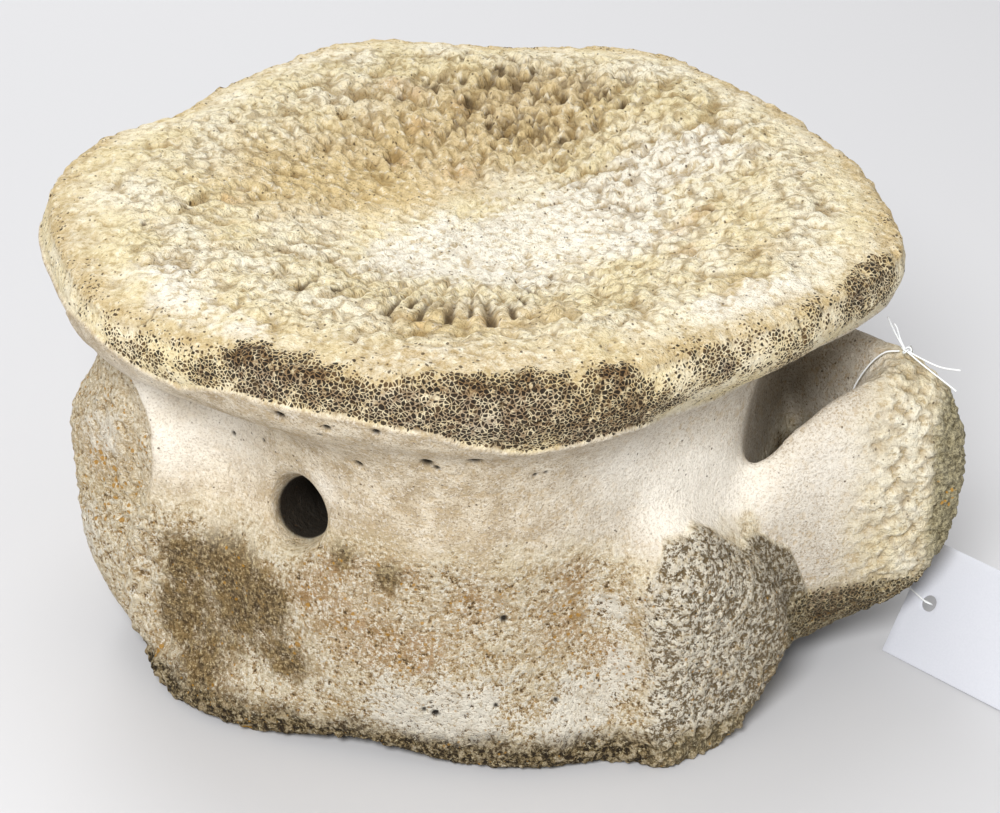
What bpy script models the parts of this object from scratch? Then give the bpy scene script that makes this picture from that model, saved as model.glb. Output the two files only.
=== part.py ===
"""Caudal vertebra of a large whale: a life-size display model of the weathered bone.

The bone stands on its head-end face, as it would be set on a table. Frame, in metres: +Z is up and points to the
whale's tail, +X is the whale's back (dorsal) and -Y its right side. The origin is under the middle of the bone.

The outer form is one spool-shaped wall, given by an outline at each of a few heights, and closed by two dished end
faces. Processes and the neural arch are added to the wall's radius, worn ends are planed flat, and the neural canal
and the two artery holes are bored. The finished bone is then parted by thin cuts into the pieces that an anatomist
names. A blank specimen tag hangs on a thin line that goes round the neural arch, through the neural canal.
"""

import math

import bmesh
import bpy
import numpy as np
from mathutils import Matrix, Vector

MM = 0.001

# ---------------------------------------------------------------- driving sizes, in millimetres and degrees
# Angles run round the centrum from 0 at its dorsal side; the right side is negative.

HEIGHT = 165.0  # from the head-end face to the tail-end face
AXIS = (-12.0, -6.3)  # the centrum's axis, placed so that the whole bone is centred on the origin

RIM_RADIUS = 146.0  # of the tail-end face, the upper one
BASE_RADIUS = 121.0  # of the head-end face, the lower one
WAIST_RADIUS = 112.0

# Where an outline leaves its circle: (angle, half width, height of the bump)
RIM_BUMPS = (
    (0, 10, 7),
    (-38, 15, -8),
    (-82, 24, -2),
    (-128, 13, 6),
    (-168, 24, 9),
    (164, 8, -9),
    (127, 13, 16),
    (82, 13, 12),
    (42, 18, -5),
)
BASE_BUMPS = (
    (-124, 18, 12),
    (124, 18, 11),
    (-90, 18, -4),
    (88, 18, -5),
    (-60, 14, 4),
    (180, 26, -8),
)
WALL_BUMPS = (
    (-124, 22, 4),
    (124, 22, 4),
    (-72, 26, 4),
    (72, 26, 4),
    (180, 26, -10),
    (0, 34, -4),
)
WAIST_BUMPS = (
    (-72, 26, 12),
    (72, 26, 12),
    (-118, 16, -5),
    (118, 16, -5),
    (180, 30, -8),
    (0, 26, -3),
)

# Outlines up the wall: height, circle, its bumps
OUTLINES = (
    (0.0, BASE_RADIUS - 3, BASE_BUMPS),
    (5.0, BASE_RADIUS + 1, BASE_BUMPS),
    (15.0, BASE_RADIUS + 1, BASE_BUMPS),
    (28.0, BASE_RADIUS - 3, WALL_BUMPS),
    (60.0, WAIST_RADIUS + 2, WALL_BUMPS),
    (96.0, WAIST_RADIUS - 1, WAIST_BUMPS),
    (110.0, WAIST_RADIUS, WAIST_BUMPS),
    (122.0, WAIST_RADIUS + 3, WAIST_BUMPS),
    (132.0, RIM_RADIUS - 14, RIM_BUMPS),
    (142.0, RIM_RADIUS - 4, RIM_BUMPS),
    (152.0, RIM_RADIUS, RIM_BUMPS),
    (160.0, RIM_RADIUS - 3, RIM_BUMPS),
    (165.0, RIM_RADIUS - 9, RIM_BUMPS),
)

# How much higher or lower than that the rim's lower edge runs
RIM_EDGE_BUMPS = ((0, 40, 7), (-68, 24, -5), (68, 24, -4), (180, 28, -7))

# Each process along its crest: (height, distance from the centrum's axis)
ARCH_CREST = (
    (6, 116),
    (16, 140),
    (28, 159),
    (40, 170),
    (56, 177),
    (85, 180),
    (100, 177),
    (110, 173),
    (118, 162),
    (125, 149),
)
HEMAL_CREST = ((0, 122), (12, 133), (30, 144), (50, 149), (88, 150), (98, 147), (106, 141), (114, 138), (132, 136))
META_CREST = ((-5, 148), (5, 148), (22, 147), (44, 146), (62, 144), (78, 133), (94, 116))
SIDE_CREST = ((10, 118), (28, 121), (50, 122), (74, 119), (90, 112))

NOTCH_HEIGHT = {-1: 101.0, 1: 119.0}  # of the arch's tail edge on the right side, worn down, and on the left
ARCH_TOP = 128.5  # and at the spine
META_LEAN = 1.3  # how much lower the metapophysis's top is for each degree nearer the arch
META_UNDERCUT = 2.0  # and how much higher its foot is

# Where the foot's edge is worn away and stands clear of the floor: (angle, half width, gap)
FOOT_WEAR = ((-92, 11, 5), (70, 16, 6), (150, 12, 5))

DISH_CENTRE = (12.0, 10.0)  # of the hollow in both end faces, from the centrum's axis
DISH_DEPTH = 17.0
TOP_CROWN = 3.0  # how far the ring round the hollow stands over the face's edge
FOOT_CROWN = 1.0

# Neural canal, from its head end to its tail end: height, its floor's distance from the axis, depth, and half width
# on the right and on the left; it flares towards the tail where the right side of the arch is worn down
CANAL = (
    (-12, 121, 18, 24, 24),
    (20, 118, 20, 26, 26),
    (50, 112, 26, 30, 30),
    (84, 109, 30, 36, 32),
    (95, 108, 33, 43, 30),
    (103, 108, 35, 47, 29),
    (112, 109, 37, 50, 28),
    (120, 111, 43, 52, 27),
    (131, 114, 52, 54, 26),
)
CANAL_PITCH = 1.3  # 1 for a straight pitched roof, 2 for a round one

# Artery hole, from outside to its blind end: depth below its mouth, half width, half height
ARTERY_HOLE = (
    (-16, 14, 14),
    (-4, 11, 11.5),
    (0, 9.4, 10),
    (5, 8.8, 9.4),
    (14, 8.6, 9.2),
    (34, 8, 8.4),
    (50, 6, 6),
    (57, 3, 3),
)
ARTERY_MOUTH = (-29.0, -101.0, 85.0)  # from the centrum's axis
ARTERY_WAY = (0.04, 0.93, -0.36)

# The blocks of space that each named piece fills: its corners seen from above, counter-clockwise and measured from
# the centrum's axis, and the heights of its foot and top. Those at the side are for the left; the rest is centrum.
ARCH_BLOCK = ((116.0, -41.6), (152.0, -65.5), (152.0, 65.5), (116.0, 41.6))
ARCH_SPAN = (14.0, 123.5)
SPINE_BLOCK = ((152.0, -90.0), (230.0, -90.0), (230.0, 90.0), (152.0, 90.0))
SPINE_SPAN = (-20.0, 123.5)
META_BLOCK = ((116.0, 41.6), (200.0, 97.4), (170.0, 190.0), (67.6, 110.9))
META_SPAN = (-20.0, 104.0)
HEMAL_BLOCK = ((-68.8, 109.1), (-102.3, 158.8), (-188.5, 100.6), (-126.9, 22.9))
HEMAL_SPAN = (26.0, 121.0)


def mirrored(outline):
    """A left side's outline for the right side."""
    return tuple((x, -y) for x, y in reversed(outline))


BLOCKS = {
    "neural_arch": (ARCH_BLOCK, ARCH_SPAN),
    "neural_spine": (SPINE_BLOCK, SPINE_SPAN),
    "metapophysis_left": (META_BLOCK, META_SPAN),
    "metapophysis_right": (mirrored(META_BLOCK), META_SPAN),
    "hemapophysis_left": (HEMAL_BLOCK, HEMAL_SPAN),
    "hemapophysis_right": (mirrored(HEMAL_BLOCK), HEMAL_SPAN),
}

# Specimen tag: a card held by a line through its hole, its long lower edge on the floor
CARD_CORNER = (155.8, 0.7, 0.2)  # the lower corner near the bone, from the centrum's axis
CARD_LENGTH = 90.0
CARD_WIDTH = 45.0
CARD_THICKNESS = 0.5
CARD_ALONG = (0.8812, -0.4727, 0.0)
CARD_UP = (0.267, 0.4977, 0.8252)
CARD_HOLE = (10.1, 23.1)  # its centre, from that corner along and up the card
CARD_HOLE_RADIUS = 3.0
LINE_RADIUS = 0.3

# The line's way from the knot on the spine: down inside the canal, under the arch, in front of the card, through its
# hole, back behind the card and up the spine's left side to the knot
LINE_ROUTE = (
    (153.4, 4.0, 122.0),
    (148.5, 3.4, 121.0),
    (143.5, 2.6, 115.8),
    (139.0, 1.8, 107.0),
    (136.4, 1.2, 96.0),
    (135.2, 1.0, 80.0),
    (134.8, 1.0, 60.0),
    (134.7, 1.0, 40.0),
    (134.8, 1.4, 24.0),
    (136.4, 3.0, 13.0),
    (142.0, 7.0, 11.0),
    (149.0, 11.5, 15.4),
    (155.0, 14.0, 20.8),
    (160.8, 12.4, 22.0),
    (165.6, 9.2, 21.2),
    (169.3, 6.6, 20.3),
    (170.6, 6.4, 20.0),
    (171.5, 7.0, 19.3),
    (171.6, 8.2, 18.5),
    (170.7, 9.2, 18.2),
    (166.0, 12.4, 18.4),
    (161.4, 16.2, 22.6),
    (158.6, 19.8, 32.0),
    (157.0, 22.4, 42.0),
    (156.0, 24.2, 56.0),
    (155.8, 24.8, 72.0),
    (155.8, 24.4, 88.0),
    (155.8, 22.8, 102.0),
    (155.8, 19.6, 113.2),
    (155.7, 13.0, 120.2),
    (155.6, 7.2, 122.1),
)
LINE_SPANS = 2  # straight runs between two points of the route
KNOT_PLACE = (155.6, 4.6, 122.1)
KNOT_RADIUS = 1.7
LINE_ENDS = (
    ((155.0, 4.4, 122.8), (152.4, 4.2, 127.0), (148.6, 3.6, 134.6)),
    ((156.2, 4.2, 122.4), (162.0, 3.2, 120.4), (168.6, 2.0, 119.0), (175.6, 0.6, 119.6)),
    ((156.2, 3.8, 122.2), (162.0, 1.8, 119.2), (168.4, 0.0, 116.0), (175.0, -1.4, 112.4)),
)

# Dry bone, from chalky cream to the stained brown of its worn ends, in linear red, green and blue
COLOURS = {
    "centrum": (0.58, 0.50, 0.36),
    "neural_arch": (0.64, 0.58, 0.45),
    "neural_spine": (0.55, 0.50, 0.36),
    "metapophysis_left": (0.46, 0.39, 0.28),
    "metapophysis_right": (0.48, 0.42, 0.31),
    "hemapophysis_left": (0.50, 0.42, 0.29),
    "hemapophysis_right": (0.52, 0.44, 0.30),
}
BONE_ROUGHNESS = 0.85

SIDES = 240  # steps round the wall
RINGS = 34  # steps from an end face's middle to its edge
LEVELS = 90  # steps up the wall
GRAIN_SIZE = 2.6  # voxel of the blend, in millimetres
KEPT_SHARE = 0.05  # of the blend's triangles
SAW_GAP = 0.4  # between two pieces
SHARP_ANGLE = 50.0  # edges sharper than this stay creased
FLOOR_CUT = 0.5  # how much the foot is ground down to give it small flats


def smooth_step(x):
    x = np.clip(x, 0.0, 1.0)
    return x * x * (3.0 - 2.0 * x)


def angle_gap(theta, centre):
    """Degrees from centre to theta, from -180 to 180."""
    return (theta - centre + 180.0) % 360.0 - 180.0


def hump(x, width):
    return np.exp(-((x / width) ** 2))


def plateau(x, low, high, ease):
    """1 between low and high, falling to 0 within ease outside them."""
    return smooth_step((x - low + ease) / ease) * smooth_step((high + ease - x) / ease)


def softer_min(a, b, ease):
    """The smaller of two values, with a rounded corner of about ease between them."""
    h = np.clip(0.5 + 0.5 * (b - a) / ease, 0.0, 1.0)
    return b * (1 - h) + a * h - ease * h * (1 - h)


def softer_max(a, b, ease):
    return -softer_min(-a, -b, ease)


def bumps(theta, table):
    return sum(height * hump(angle_gap(theta, at), width) for at, width, height in table)


def monotone_slopes(heights, values):
    """Slopes at the stations that make the curve through them neither overshoot nor ripple."""
    steps = np.diff(heights)
    rises = np.diff(values, axis=0) / steps[:, None]
    slopes = np.zeros_like(values)
    same_way = rises[1:] * rises[:-1] > 0
    mean = 2 * rises[1:] * rises[:-1] / np.where(same_way, rises[1:] + rises[:-1], 1.0)
    slopes[1:-1] = np.where(same_way, mean, 0.0)
    slopes[0] = rises[0]
    slopes[-1] = rises[-1]
    return slopes


def through_stations(z, heights, values):
    """values has one row for each of heights; z has one height for each column of values."""
    heights = np.asarray(heights, float)
    values = np.asarray(values, float)
    slopes = monotone_slopes(heights, values)
    i = np.clip(np.searchsorted(heights, z) - 1, 0, len(heights) - 2)
    column = np.arange(len(z))
    span = heights[i + 1] - heights[i]
    t = np.clip((z - heights[i]) / span, 0.0, 1.0)
    return (
        (1 + 2 * t) * (1 - t) ** 2 * values[i, column]
        + t * (1 - t) ** 2 * span * slopes[i, column]
        + t * t * (3 - 2 * t) * values[i + 1, column]
        + t * t * (t - 1) * span * slopes[i + 1, column]
    )


def planed(radius, theta, z, facing, spread, distance, low, high, edge):
    """Planes a flat on the wall within spread of the angle facing: a plane at distance from the axis."""
    gap = angle_gap(theta, facing)
    plane = distance / np.cos(np.radians(np.clip(gap, -60.0, 60.0)))
    cut = softer_min(radius, plane, 3.5)
    share = plateau(z, low, high, edge) * plateau(gap, -spread, spread, 8.0)
    return radius + (cut - radius) * share


def along_crest(z, crest):
    heights, reach = zip(*crest)
    return through_stations(z, heights, np.repeat(np.array(reach)[:, None], len(z), axis=1))


def process(wall, z, gap, crest, width, bluntness=2.0):
    """How far a process stands out of the wall: all the way at its crest, and less on both sides of it."""
    stands = np.maximum(along_crest(z, crest) - wall, 0.0)
    return stands * np.exp(-np.abs(gap / width) ** bluntness)


def neural_arch(wall, z, gap):
    """The roof over the neural canal, with the stump of the spine in its middle."""
    stands = np.maximum(along_crest(z, ARCH_CREST) - wall, 0.0)
    across = 0.42 * hump(gap, 8.5) + 0.58 * hump(gap, 21.0)
    notch = np.where(gap < 0, NOTCH_HEIGHT[-1], NOTCH_HEIGHT[1])
    tail_edge = notch + (ARCH_TOP - notch) * hump(gap, 14.0)
    ease = 8.0 + 32.0 * smooth_step((np.abs(gap) - 12.0) / 14.0)
    return stands * across * smooth_step((tail_edge - z) / ease)


def wall_radius(theta, z):
    """Distance from the axis to the bone's outside at an angle and a height (one of each for each point)."""
    edge = z - bumps(theta, RIM_EDGE_BUMPS) * hump(z - 130.0, 22.0)
    heights = [outline[0] for outline in OUTLINES]
    values = np.array([circle + bumps(theta, table) for _, circle, table in OUTLINES])
    radius = through_stations(edge, heights, values)
    wall = radius
    for side in (-1, 1):
        radius = radius + process(wall, z, angle_gap(theta, side * 146.0), HEMAL_CREST, 18.0, 3.5)
        radius = radius + process(wall, z, angle_gap(theta, side * 95.0), SIDE_CREST, 22.0)
        nearer = np.clip(37.0 - side * angle_gap(theta, 0.0), 0.0, 30.0)
        lowered = z + META_LEAN * nearer * smooth_step(z / 40.0)
        lump = process(wall, lowered, angle_gap(theta, side * 32.0), META_CREST, 16.0, 3.5)
        radius = radius + lump * smooth_step((z + 16.0 - META_UNDERCUT * nearer) / 16.0)
    radius = softer_max(radius, wall + neural_arch(wall, z, angle_gap(theta, 0.0)), 8.0)
    for side in (-1, 1):
        radius = planed(radius, theta, z, side * 116.0, 34.0, 128.0, 30.0, 112.0, 24.0)
        radius = planed(radius, theta, z, side * 37.0, 22.0, 137.0, 0.0, 80.0, 14.0)
    return radius


def face_relief(share, radius, turn, crown, bevel):
    """Height of an end face over its edge, at a share of the way from the axis to its edge."""
    x = radius * share * np.cos(turn) - DISH_CENTRE[0] * (1.0 - share)
    y = radius * share * np.sin(turn) - DISH_CENTRE[1] * (1.0 - share)
    inner = np.hypot(x, y) / RIM_RADIUS
    return crown * smooth_step((1.0 - share) / bevel) - DISH_DEPTH * smooth_step((0.80 - inner) / 0.55)


def closed_loft(name, rows, start, end):
    """A closed mesh from rings of points, in millimetres, with a fan to a middle point at each end."""
    bm = bmesh.new()
    rings = [[bm.verts.new(MM * Vector(point)) for point in row] for row in rows]
    sides = len(rings[0])
    for low, high in zip(rings, rings[1:]):
        for i in range(sides):
            j = (i + 1) % sides
            bm.faces.new((low[i], low[j], high[j], high[i]))
    first = bm.verts.new(MM * Vector(start))
    last = bm.verts.new(MM * Vector(end))
    for i in range(sides):
        j = (i + 1) % sides
        bm.faces.new((rings[0][j], rings[0][i], first))
        bm.faces.new((rings[-1][i], rings[-1][j], last))
    bmesh.ops.recalc_face_normals(bm, faces=bm.faces)
    mesh = bpy.data.meshes.new(name)
    bm.to_mesh(mesh)
    bm.free()
    return bpy.data.objects.new(name, mesh)


def spool():
    """Centrum, processes and arch as one closed form: out over the foot, up the wall, in over the top."""
    theta = np.arange(SIDES) * 360.0 / SIDES
    turn = np.radians(theta)
    shares = (np.arange(1, RINGS) / RINGS) ** 0.9
    lift = bumps(theta, FOOT_WEAR)
    top = HEIGHT - TOP_CROWN
    rows = []

    def add_row(radius, z):
        x = AXIS[0] + radius * np.cos(turn)
        y = AXIS[1] + radius * np.sin(turn)
        rows.append(np.stack([x, y, z + np.zeros(SIDES)], axis=1))

    foot_edge = wall_radius(theta, np.zeros(SIDES))
    for share in shares:
        worn = lift * smooth_step((share - 0.6) / 0.3)
        add_row(foot_edge * share, FOOT_CROWN - face_relief(share, foot_edge, turn, FOOT_CROWN, 0.06) + worn)
    for z in np.linspace(FOOT_CROWN, top, LEVELS):
        add_row(wall_radius(theta, np.full(SIDES, z)), z + lift * np.clip(1.0 - z / 30.0, 0.0, 1.0))
    top_edge = wall_radius(theta, np.full(SIDES, top))
    for share in shares[::-1]:
        add_row(top_edge * share, top + face_relief(share, top_edge, turn, TOP_CROWN, 0.14))
    middle = np.array(AXIS + (0.0,))
    foot_middle = middle + (0, 0, FOOT_CROWN - face_relief(0.0, foot_edge, turn, FOOT_CROWN, 0.06)[0])
    top_middle = middle + (0, 0, top + face_relief(0.0, top_edge, turn, TOP_CROWN, 0.14)[0])
    return closed_loft("spool", rows, foot_middle, top_middle)


def canal_cutter():
    """A bore whose floor is slightly hollow and whose roof is pitched, like the arch over it."""
    turn = np.arange(40) * math.tau / 40
    across = np.sin(turn)
    roof = (1.0 - np.abs(across) ** CANAL_PITCH) * (np.cos(turn) > 0)
    hollow = (1.0 - across**2) * (np.cos(turn) < 0)
    rows = []
    for z, floor, depth, right, left in CANAL:
        x = AXIS[0] + floor + depth * roof - 2.0 * hollow
        y = AXIS[1] + np.where(across < 0, right, left) * across
        rows.append(np.stack([x, y, np.full(40, float(z))], axis=1))
    return closed_loft("canal_cutter", rows, rows[0].mean(axis=0), rows[-1].mean(axis=0))


def artery_cutter(side):
    """The hole's cutter on the right side (-1) or the left side (1)."""
    turn = np.arange(28) * math.tau / 28
    way = Vector((ARTERY_WAY[0], -side * ARTERY_WAY[1], ARTERY_WAY[2])).normalized()
    across = way.cross(Vector((0, 0, 1))).normalized()
    up = across.cross(way)
    mouth = Vector((AXIS[0] + ARTERY_MOUTH[0], AXIS[1] - side * ARTERY_MOUTH[1], ARTERY_MOUTH[2]))
    rows = []
    for depth, half_width, half_height in ARTERY_HOLE:
        middle = mouth + way * depth
        rows.append([middle + across * (half_width * math.cos(a)) + up * (half_height * math.sin(a)) for a in turn])
    start = mouth + way * ARTERY_HOLE[0][0]
    end = mouth + way * ARTERY_HOLE[-1][0]
    return closed_loft(f"artery_cutter_{side}", rows, start, end)


def applied(source, name):
    """The object's evaluated mesh, as a new mesh."""
    graph = bpy.context.evaluated_depsgraph_get()
    mesh = bpy.data.meshes.new_from_object(source.evaluated_get(graph))
    mesh.name = name
    return mesh


def moved_out(outline, distance):
    """A convex outline, its corners counter-clockwise, with each side moved outward."""
    corners = [Vector(point) for point in outline]
    sides = []
    for here, there in zip(corners, corners[1:] + corners[:1]):
        along = (there - here).normalized()
        sides.append((here + Vector((along.y, -along.x)) * distance, along))
    moved = []
    for (here, along), (there, other) in zip(sides[-1:] + sides[:-1], sides):
        moved.append(here + along * ((there - here).cross(other) / along.cross(other)))
    return moved


def block(name, outline, span, growth):
    """An upright prism over an outline, grown on all sides."""
    bm = bmesh.new()
    foot = [
        bm.verts.new(MM * Vector((AXIS[0] + corner.x, AXIS[1] + corner.y, span[0] - growth)))
        for corner in moved_out(outline, growth)
    ]
    raised = bmesh.ops.extrude_face_region(bm, geom=[bm.faces.new(foot)])
    top = [v for v in raised["geom"] if isinstance(v, bmesh.types.BMVert)]
    bmesh.ops.translate(bm, verts=top, vec=(0.0, 0.0, MM * (span[1] - span[0] + 2 * growth)))
    bmesh.ops.recalc_face_normals(bm, faces=bm.faces)
    mesh = bpy.data.meshes.new(name)
    bm.to_mesh(mesh)
    bm.free()
    return bpy.data.objects.new(name, mesh)


def combined(source, others, operation, name):
    """A mesh: the source's, cut by or cut to the other objects one after another."""
    trial = source.copy()
    parts.objects.link(trial)
    for other in others:
        tools.objects.link(other)
        step = trial.modifiers.new(other.name, "BOOLEAN")
        step.operation = operation
        step.object = other
    bpy.context.view_layer.update()
    mesh = applied(trial, name)
    for used in [trial] + others:
        bpy.data.objects.remove(used)
    return mesh


def keep_largest(mesh):
    """The mesh without the crumbs that a cut leaves beside the piece."""
    bm = bmesh.new()
    bm.from_mesh(mesh)
    left = set(bm.verts)
    islands = []
    while left:
        island = {left.pop()}
        edge_of_island = list(island)
        while edge_of_island:
            v = edge_of_island.pop()
            near = {edge.other_vert(v) for edge in v.link_edges} - island
            island |= near
            edge_of_island.extend(near)
        left -= island
        islands.append(island)
    islands.sort(key=len)
    crumbs = [v for island in islands[:-1] for v in island]
    bmesh.ops.delete(bm, geom=crumbs, context="VERTS")
    bm.to_mesh(mesh)
    bm.free()
    return mesh


def finish(name, colour, roughness):
    """A material without metal in it, with its colour in linear red, green and blue."""
    material = bpy.data.materials.new(name)
    material.use_nodes = True
    shader = material.node_tree.nodes["Principled BSDF"]
    shader.inputs["Base Color"].default_value = (*colour, 1.0)
    shader.inputs["Roughness"].default_value = roughness
    shader.inputs["Metallic"].default_value = 0.0
    return material


def piece(name, mesh, colour, roughness):
    mesh.name = name
    mesh.materials.clear()
    mesh.materials.append(finish(name, colour, roughness))
    mesh.shade_smooth()
    mesh.set_sharp_from_angle(angle=math.radians(SHARP_ANGLE))
    node = bpy.data.objects.new(name, mesh)
    parts.objects.link(node)
    return node


def through_route(route, spans):
    """Points of a smooth curve through a route's own points, in metres, with the axis as it stands."""
    points = [MM * (Vector(place) + Vector((*AXIS, 0.0))) for place in route]
    smooth = []
    for i in range(len(points) - 1):
        before = points[max(i - 1, 0)]
        start = points[i]
        end = points[i + 1]
        after = points[min(i + 2, len(points) - 1)]
        reach = (end - start).length
        leave = (end - before) * (reach / ((end - start).length + (start - before).length))
        arrive = (after - start) * (reach / ((after - end).length + reach))
        for step in range(spans):
            t = step / spans
            smooth.append(
                (1 + 2 * t) * (1 - t) ** 2 * start
                + t * (1 - t) ** 2 * leave
                + t * t * (3 - 2 * t) * end
                + t * t * (t - 1) * arrive
            )
    return smooth + [points[-1]]


def tube(name, route, spans):
    """A length of the tag's line, as a curve object."""
    curve = bpy.data.curves.new(name, "CURVE")
    curve.dimensions = "3D"
    curve.bevel_depth = LINE_RADIUS * MM
    curve.bevel_resolution = 2
    curve.use_fill_caps = True
    points = through_route(route, spans)
    spline = curve.splines.new("POLY")
    spline.points.add(len(points) - 1)
    for place, point in zip(points, spline.points):
        point.co = (*place, 1.0)
    node = bpy.data.objects.new(name, curve)
    parts.objects.link(node)
    return node


def as_mesh(curve_object, name):
    """The curve object's closed mesh; the curve goes."""
    bpy.context.view_layer.update()
    mesh = applied(curve_object, name)
    mesh.transform(curve_object.matrix_world)
    bm = bmesh.new()
    bm.from_mesh(mesh)
    bmesh.ops.remove_doubles(bm, verts=bm.verts, dist=1e-6)
    bmesh.ops.recalc_face_normals(bm, faces=bm.faces)
    bm.to_mesh(mesh)
    bm.free()
    bpy.data.objects.remove(curve_object)
    return mesh


def tag_card():
    """The card: a rectangle with a round hole, from its corner along its two edges."""
    curve = bpy.data.curves.new("tag_card", "CURVE")
    curve.dimensions = "2D"
    curve.fill_mode = "BOTH"
    curve.extrude = CARD_THICKNESS / 2 * MM
    corners = [(0.0, 0.0), (CARD_LENGTH, 0.0), (CARD_LENGTH, CARD_WIDTH), (0.0, CARD_WIDTH)]
    steps = [math.tau * i / 24 for i in range(24)]
    rim = []
    for a in steps:
        rim.append((CARD_HOLE[0] + CARD_HOLE_RADIUS * math.cos(a), CARD_HOLE[1] + CARD_HOLE_RADIUS * math.sin(a)))
    for outline in (corners, rim):
        spline = curve.splines.new("POLY")
        spline.use_cyclic_u = True
        spline.points.add(len(outline) - 1)
        for (x, y), point in zip(outline, spline.points):
            point.co = (x * MM, y * MM, 0.0, 1.0)
    card = bpy.data.objects.new("tag_card", curve)
    along = Vector(CARD_ALONG).normalized()
    out = along.cross(Vector(CARD_UP)).normalized()
    up = out.cross(along)
    corner = MM * (Vector(CARD_CORNER) + Vector((*AXIS, 0.0)))
    card.matrix_world = Matrix.Translation(corner) @ Matrix((along, up, out)).transposed().to_4x4()
    curve.materials.append(finish("tag_card", (0.80, 0.82, 0.86), 0.45))
    parts.objects.link(card)


def tag_line():
    """The line in one length, from the knot round to the knot."""
    tube("tag_line", LINE_ROUTE, LINE_SPANS).data.materials.append(finish("tag_line", (0.86, 0.87, 0.88), 0.35))


def tag_knot():
    """The knot with the line's three short ends, joined into one body."""
    bm = bmesh.new()
    bmesh.ops.create_uvsphere(bm, u_segments=12, v_segments=8, radius=KNOT_RADIUS * MM)
    bmesh.ops.translate(bm, verts=bm.verts, vec=MM * (Vector(KNOT_PLACE) + Vector((*AXIS, 0.0))))
    mesh = bpy.data.meshes.new("knot_ball")
    bm.to_mesh(mesh)
    bm.free()
    ball = bpy.data.objects.new("knot_ball", mesh)
    ends = []
    for i, route in enumerate(LINE_ENDS):
        ends.append(bpy.data.objects.new(f"line_end_{i}", as_mesh(tube("line_end", route, 2), f"line_end_{i}")))
    piece("tag_knot", combined(ball, ends, "UNION", "tag_knot"), (0.86, 0.87, 0.88), 0.35)
    bpy.data.objects.remove(ball)


def ground_bone():
    """The bone in one piece, with its grain evened out and its foot ground flat, as a mesh object."""
    bores = [canal_cutter(), artery_cutter(-1), artery_cutter(1)]
    rough = bpy.data.objects.new("rough", combined(spool(), bores, "DIFFERENCE", "rough"))
    parts.objects.link(rough)
    grain = rough.modifiers.new("grain", "REMESH")
    grain.mode = "VOXEL"
    grain.voxel_size = GRAIN_SIZE * MM
    soften = rough.modifiers.new("soften", "SMOOTH")
    soften.factor = 0.5
    soften.iterations = 5
    thin = rough.modifiers.new("thin", "DECIMATE")
    thin.ratio = KEPT_SHARE
    bpy.context.view_layer.update()
    even = bpy.data.objects.new("even", applied(rough, "even"))
    bpy.data.objects.remove(rough)
    square = ((-300.0, -300.0), (300.0, -300.0), (300.0, 300.0), (-300.0, 300.0))
    under_floor = block("under_floor", square, (-60.0, FLOOR_CUT), 0.0)
    whole = bpy.data.objects.new("whole", combined(even, [under_floor], "DIFFERENCE", "whole"))
    bpy.data.objects.remove(even)
    whole.data.transform(Matrix.Translation((0.0, 0.0, -FLOOR_CUT * MM)))
    return whole


def part_bone(whole):
    """Parts the bone into its named pieces."""
    rooms = []
    for name, (outline, span) in BLOCKS.items():
        inside = block(name + "_block", outline, span, -SAW_GAP / 2)
        piece(name, keep_largest(combined(whole, [inside], "INTERSECT", name)), COLOURS[name], BONE_ROUGHNESS)
        rooms.append(block(name + "_room", outline, span, SAW_GAP / 2))
    rest = keep_largest(combined(whole, rooms, "DIFFERENCE", "centrum"))
    piece("centrum", rest, COLOURS["centrum"], BONE_ROUGHNESS)
    bpy.data.objects.remove(whole)


for old in list(bpy.data.objects):
    bpy.data.objects.remove(old)

parts = bpy.data.collections.new("whale_vertebra")
tools = bpy.data.collections.new("cutters")
for group in (parts, tools):
    bpy.context.scene.collection.children.link(group)

part_bone(ground_bone())
tag_card()
tag_line()
tag_knot()
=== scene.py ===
# %% [markdown]
# # A whale vertebra, life size
#
# This is one bone from the tail of a large baleen whale, about a third of a metre across. It stands on the
# face that joined the next bone towards the head, so its other end face is on top. The frame that the
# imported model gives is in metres: +Z is up and towards the tail, +X is the whale's back and -Y its right
# side.
#
# The CAD pieces give the bone's outline. This lesson joins them into one skin, carves the weathered surface
# into it, and colours it, and then dresses the museum's tag and its line. Working from pieces to one skin
# keeps the outline true and hides the cuts between the pieces.

# %% Load the frame
import math

import bmesh
import bpy
import numpy as np
from mathutils import Matrix, Vector


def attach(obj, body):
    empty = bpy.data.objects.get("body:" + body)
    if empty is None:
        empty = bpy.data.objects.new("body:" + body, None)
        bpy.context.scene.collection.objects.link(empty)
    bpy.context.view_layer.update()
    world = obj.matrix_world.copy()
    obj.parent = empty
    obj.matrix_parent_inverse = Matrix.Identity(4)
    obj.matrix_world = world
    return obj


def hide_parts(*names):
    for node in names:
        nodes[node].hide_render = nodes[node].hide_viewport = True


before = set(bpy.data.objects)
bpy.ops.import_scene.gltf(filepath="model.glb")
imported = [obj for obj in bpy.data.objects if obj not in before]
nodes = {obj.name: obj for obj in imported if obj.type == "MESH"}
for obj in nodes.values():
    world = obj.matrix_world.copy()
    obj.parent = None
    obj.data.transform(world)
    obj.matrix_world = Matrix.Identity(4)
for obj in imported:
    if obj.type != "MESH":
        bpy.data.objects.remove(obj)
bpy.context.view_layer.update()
MM = 0.001
AXIS = Vector((-12.0, -6.3, 0.0)) * MM  # the body's own axis, which stands upright
print("frame loaded:", ", ".join(sorted(nodes)))
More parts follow.
